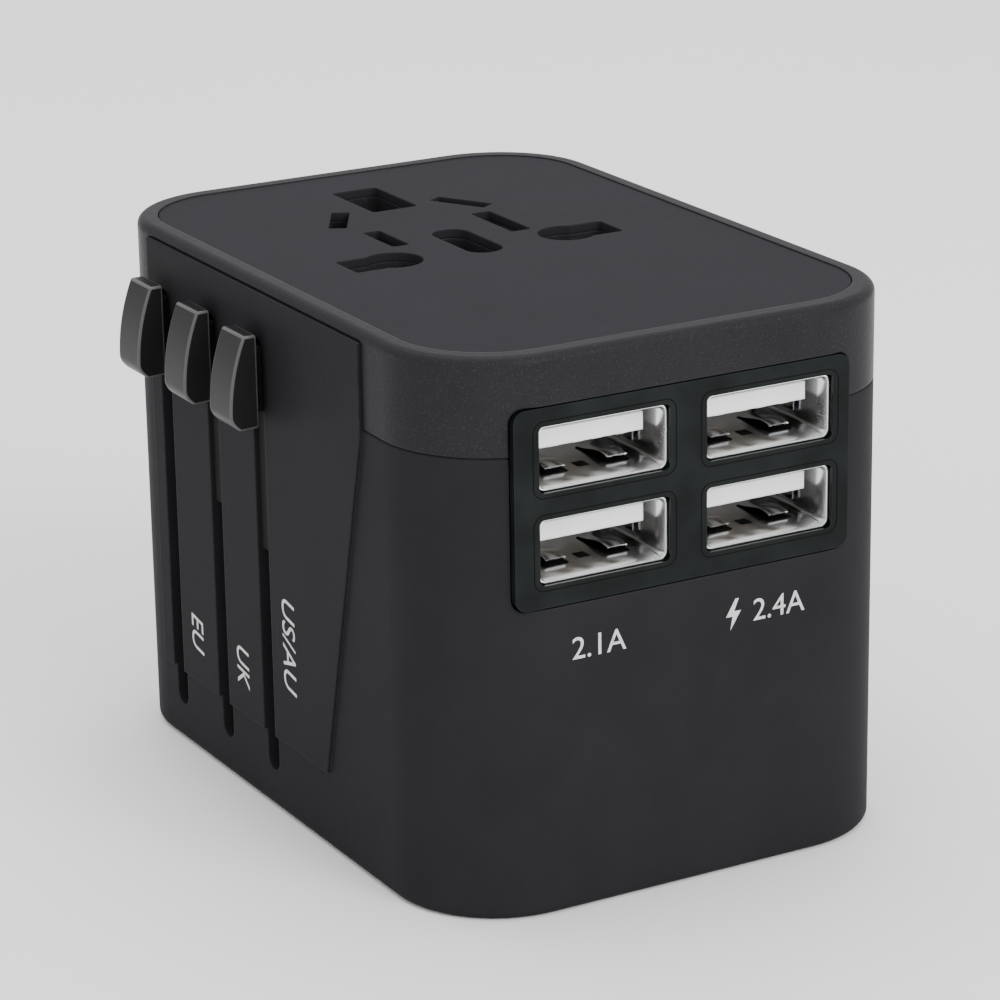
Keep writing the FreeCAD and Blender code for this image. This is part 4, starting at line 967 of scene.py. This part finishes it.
@dataclass
class Print:
    """A short printed mark in light grey ink."""

    name: str
    words: str
    side: Side
    start: float
    line: float
    face: float
    size: tuple[float, float]
    slant: float = 0.0
    relief: float = 0.006 * MM
    sunk: float = 0.004 * MM

    def build(self) -> None:
        """Letters made into a mesh, scaled to their length and height and laid on their face."""
        curve = bpy.data.curves.new(self.name, "FONT")
        curve.body = self.words
        curve.size = 1.0
        curve.shear = self.slant
        curve.extrude = 0.004
        curve.resolution_u = 6
        drawn = bpy.data.objects.new(self.name + "_letters", curve)
        bpy.context.scene.collection.objects.link(drawn)
        bpy.context.view_layer.update()
        mesh = bpy.data.meshes.new_from_object(drawn)
        bpy.data.objects.remove(drawn)
        flat = np.empty(len(mesh.vertices) * 3)
        mesh.vertices.foreach_get("co", flat)
        flat = flat.reshape(-1, 3)
        lowest = flat[:, :2].min(axis=0)
        scale = np.array(self.size) / np.ptp(flat[:, :2], axis=0)
        first = (flat[:, 0] - lowest[0]) * scale[0] + self.start
        second = (flat[:, 1] - lowest[1]) * scale[1] + self.line
        out = self.face + self.sunk + np.sign(flat[:, 2]) * self.relief
        mesh.vertices.foreach_set("co", self.side.lay(first, second, out).ravel())
        mesh.update()
        Maker.dress(self.name, mesh, Look.PRINT, "plate_plastic", "root")


@dataclass
class ChargeSign:
    """A plain lightning bolt beside the stronger ports' rating."""

    centre: tuple[float, float] = (4.7 * MM, 25.3 * MM)
    size: float = 3.0 * MM
    sunk: float = 0.002 * MM
    relief: float = 0.01 * MM

    def build(self) -> None:
        """A seven-cornered outline carried through the ink's thickness."""
        face = -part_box("lower_housing")[0].y
        shape = np.array([(0.08, 0.5), (-0.26, -0.06), (-0.02, -0.06), (-0.1, -0.5),
                          (0.28, 0.1), (0.03, 0.1), (0.2, 0.5)]) * self.size + np.array(self.centre)
        height = np.array([face - self.sunk, face + self.relief])
        first = np.broadcast_to(shape[None, :, 0], (2, len(shape)))
        second = np.broadcast_to(shape[None, :, 1], (2, len(shape)))
        out = np.broadcast_to(height[:, None], (2, len(shape)))
        grid = Grid(Side.FRONT.lay(first, second, out))
        Maker.piece("charge_sign", [grid], Look.PRINT, "plate_plastic")


def add_prints() -> None:
    """The generic marks: regions beside the slots and ratings under the ports."""
    panel = -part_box("lower_housing")[0].x
    front = -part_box("lower_housing")[0].y
    beside = {"side": Side.LEFT_DOWNWARD, "face": panel, "slant": 0.2}
    under = {"side": Side.FRONT, "face": front, "line": 24.25 * MM}
    for item in (Print("print_eu", "EU", start=-15.0 * MM, line=-17.3 * MM,
                       size=(3.9 * MM, 2.6 * MM), **beside),
                 Print("print_uk", "UK", start=-14.9 * MM, line=-7.0 * MM,
                       size=(4.1 * MM, 2.6 * MM), **beside),
                 Print("print_us_au", "US/AU", start=-22.9 * MM, line=3.4 * MM,
                       size=(9.4 * MM, 2.6 * MM), **beside),
                 Print("print_rating_low", "2.1A", start=-12.3 * MM,
                       size=(5.6 * MM, 2.1 * MM), **under),
                 Print("print_rating_high", "2.4A", start=6.9 * MM,
                       size=(5.6 * MM, 2.1 * MM), **under)):
        item.build()


# --------------------------------------------------------------------------------- the studio


@dataclass
class Studio:
    """Camera, soft lights and pale floor."""

    lens: float = 138.7
    place: tuple[float, float, float] = (-0.1748, -0.3130, 0.1463)
    azimuth: float = -29.24
    elevation: float = 18.388
    roll: float = -0.925
    sensor: float = 36.0
    aim: tuple[float, float, float] = (0.0, 0.0, 0.03)
    floor_reach: float = 3.0
    floor_drop: float = 0.05 * MM

    def build(self) -> None:
        """Makes the whole studio."""
        self.camera()
        self.floor()
        self.world()
        self.light("key", (0.2, -0.85, 0.6), 0.55, 7.5)
        self.light("top", (0.05, 0.25, 0.95), 0.8, 7.0)
        self.light("left", (-0.75, -0.45, 0.5), 0.4, 0.5)

    def camera(self) -> None:
        """The camera: its back, right and up directions from azimuth, elevation and roll."""
        turn, rise, tilt = (math.radians(a) for a in (self.azimuth, self.elevation, self.roll))
        back = Vector((math.sin(turn) * math.cos(rise), -math.cos(turn) * math.cos(rise),
                       math.sin(rise)))
        right = (-back).cross(Vector((0.0, 0.0, 1.0))).normalized()
        up = right.cross(-back)
        rolled_right = right * math.cos(tilt) + up * math.sin(tilt)
        rolled_up = up * math.cos(tilt) - right * math.sin(tilt)
        data = bpy.data.cameras.new("camera")
        data.lens = self.lens
        data.sensor_width = self.sensor
        data.clip_start = 0.01
        made = bpy.data.objects.new("camera", data)
        turned = Matrix((rolled_right, rolled_up, back)).transposed().to_4x4()
        made.matrix_world = Matrix.Translation(self.place) @ turned
        bpy.context.scene.collection.objects.link(made)
        bpy.context.scene.camera = made

    def floor(self) -> None:
        """A square floor a hair below the adapter, so that the two faces don't coincide."""
        r, z = self.floor_reach, -self.floor_drop
        mesh = bpy.data.meshes.new("floor")
        mesh.from_pydata([(-r, -r, z), (r, -r, z), (r, r, z), (-r, r, z)], [], [(0, 1, 2, 3)])
        mesh.materials.append(Look.FLOOR.value.material())
        made = bpy.data.objects.new("floor", mesh)
        bpy.context.scene.collection.objects.link(made)

    def world(self) -> None:
        """Even white surroundings."""
        world = bpy.data.worlds.new("surroundings")
        world.use_nodes = True
        shade = world.node_tree.nodes["Background"]
        shade.inputs["Color"].default_value = (1.0, 1.0, 1.0, 1.0)
        shade.inputs["Strength"].default_value = 1.0
        bpy.context.scene.world = world

    def light(self, name: str, place: tuple[float, float, float], size: float, power: float) -> None:
        """A square soft light that faces the middle of the adapter.

        Args:
            name: The light's name.
            place: Where it stands, in metres.
            size: The side of the square, in metres.
            power: Its power, in watts.
        """
        data = bpy.data.lights.new(name, "AREA")
        data.size = size
        data.energy = power
        made = bpy.data.objects.new(name, data)
        made.location = place
        towards = Vector(self.aim) - Vector(place)
        made.rotation_euler = towards.to_track_quat("-Z", "Y").to_euler()
        bpy.context.scene.collection.objects.link(made)


def dress_nodes(frame: dict) -> None:
    """Gives every carried-over node the finish of its slot.
    """
    slots = {part["node"]: part["material_slot"] for part in frame["record"]["subparts"]}
    for node, shape in frame["nodes"].items():
        finish = CAD_LOOKS[slots[node]].value.material()
        shape.data.materials.clear()
        shape.data.materials.append(finish)
        LOG.info("dressed %s", node)


def main() -> None:
    """Builds the adapter over its frame."""
    logging.basicConfig(level=logging.INFO)
    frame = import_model()
    dress_nodes(frame)
    for corner in ("upper_left", "upper_right", "lower_left", "lower_right"):
        UsbPort(corner).build()
        PortOutline(corner).build()
    for knob in (SliderKnob("us"), SliderKnob("uk", neck_low=28.4 * MM),
                 SliderKnob("eu", neck_low=39.2 * MM)):
        knob.build()
    add_prints()
    ChargeSign().build()
    Studio().build()


if __name__ == "__main__":
    main()
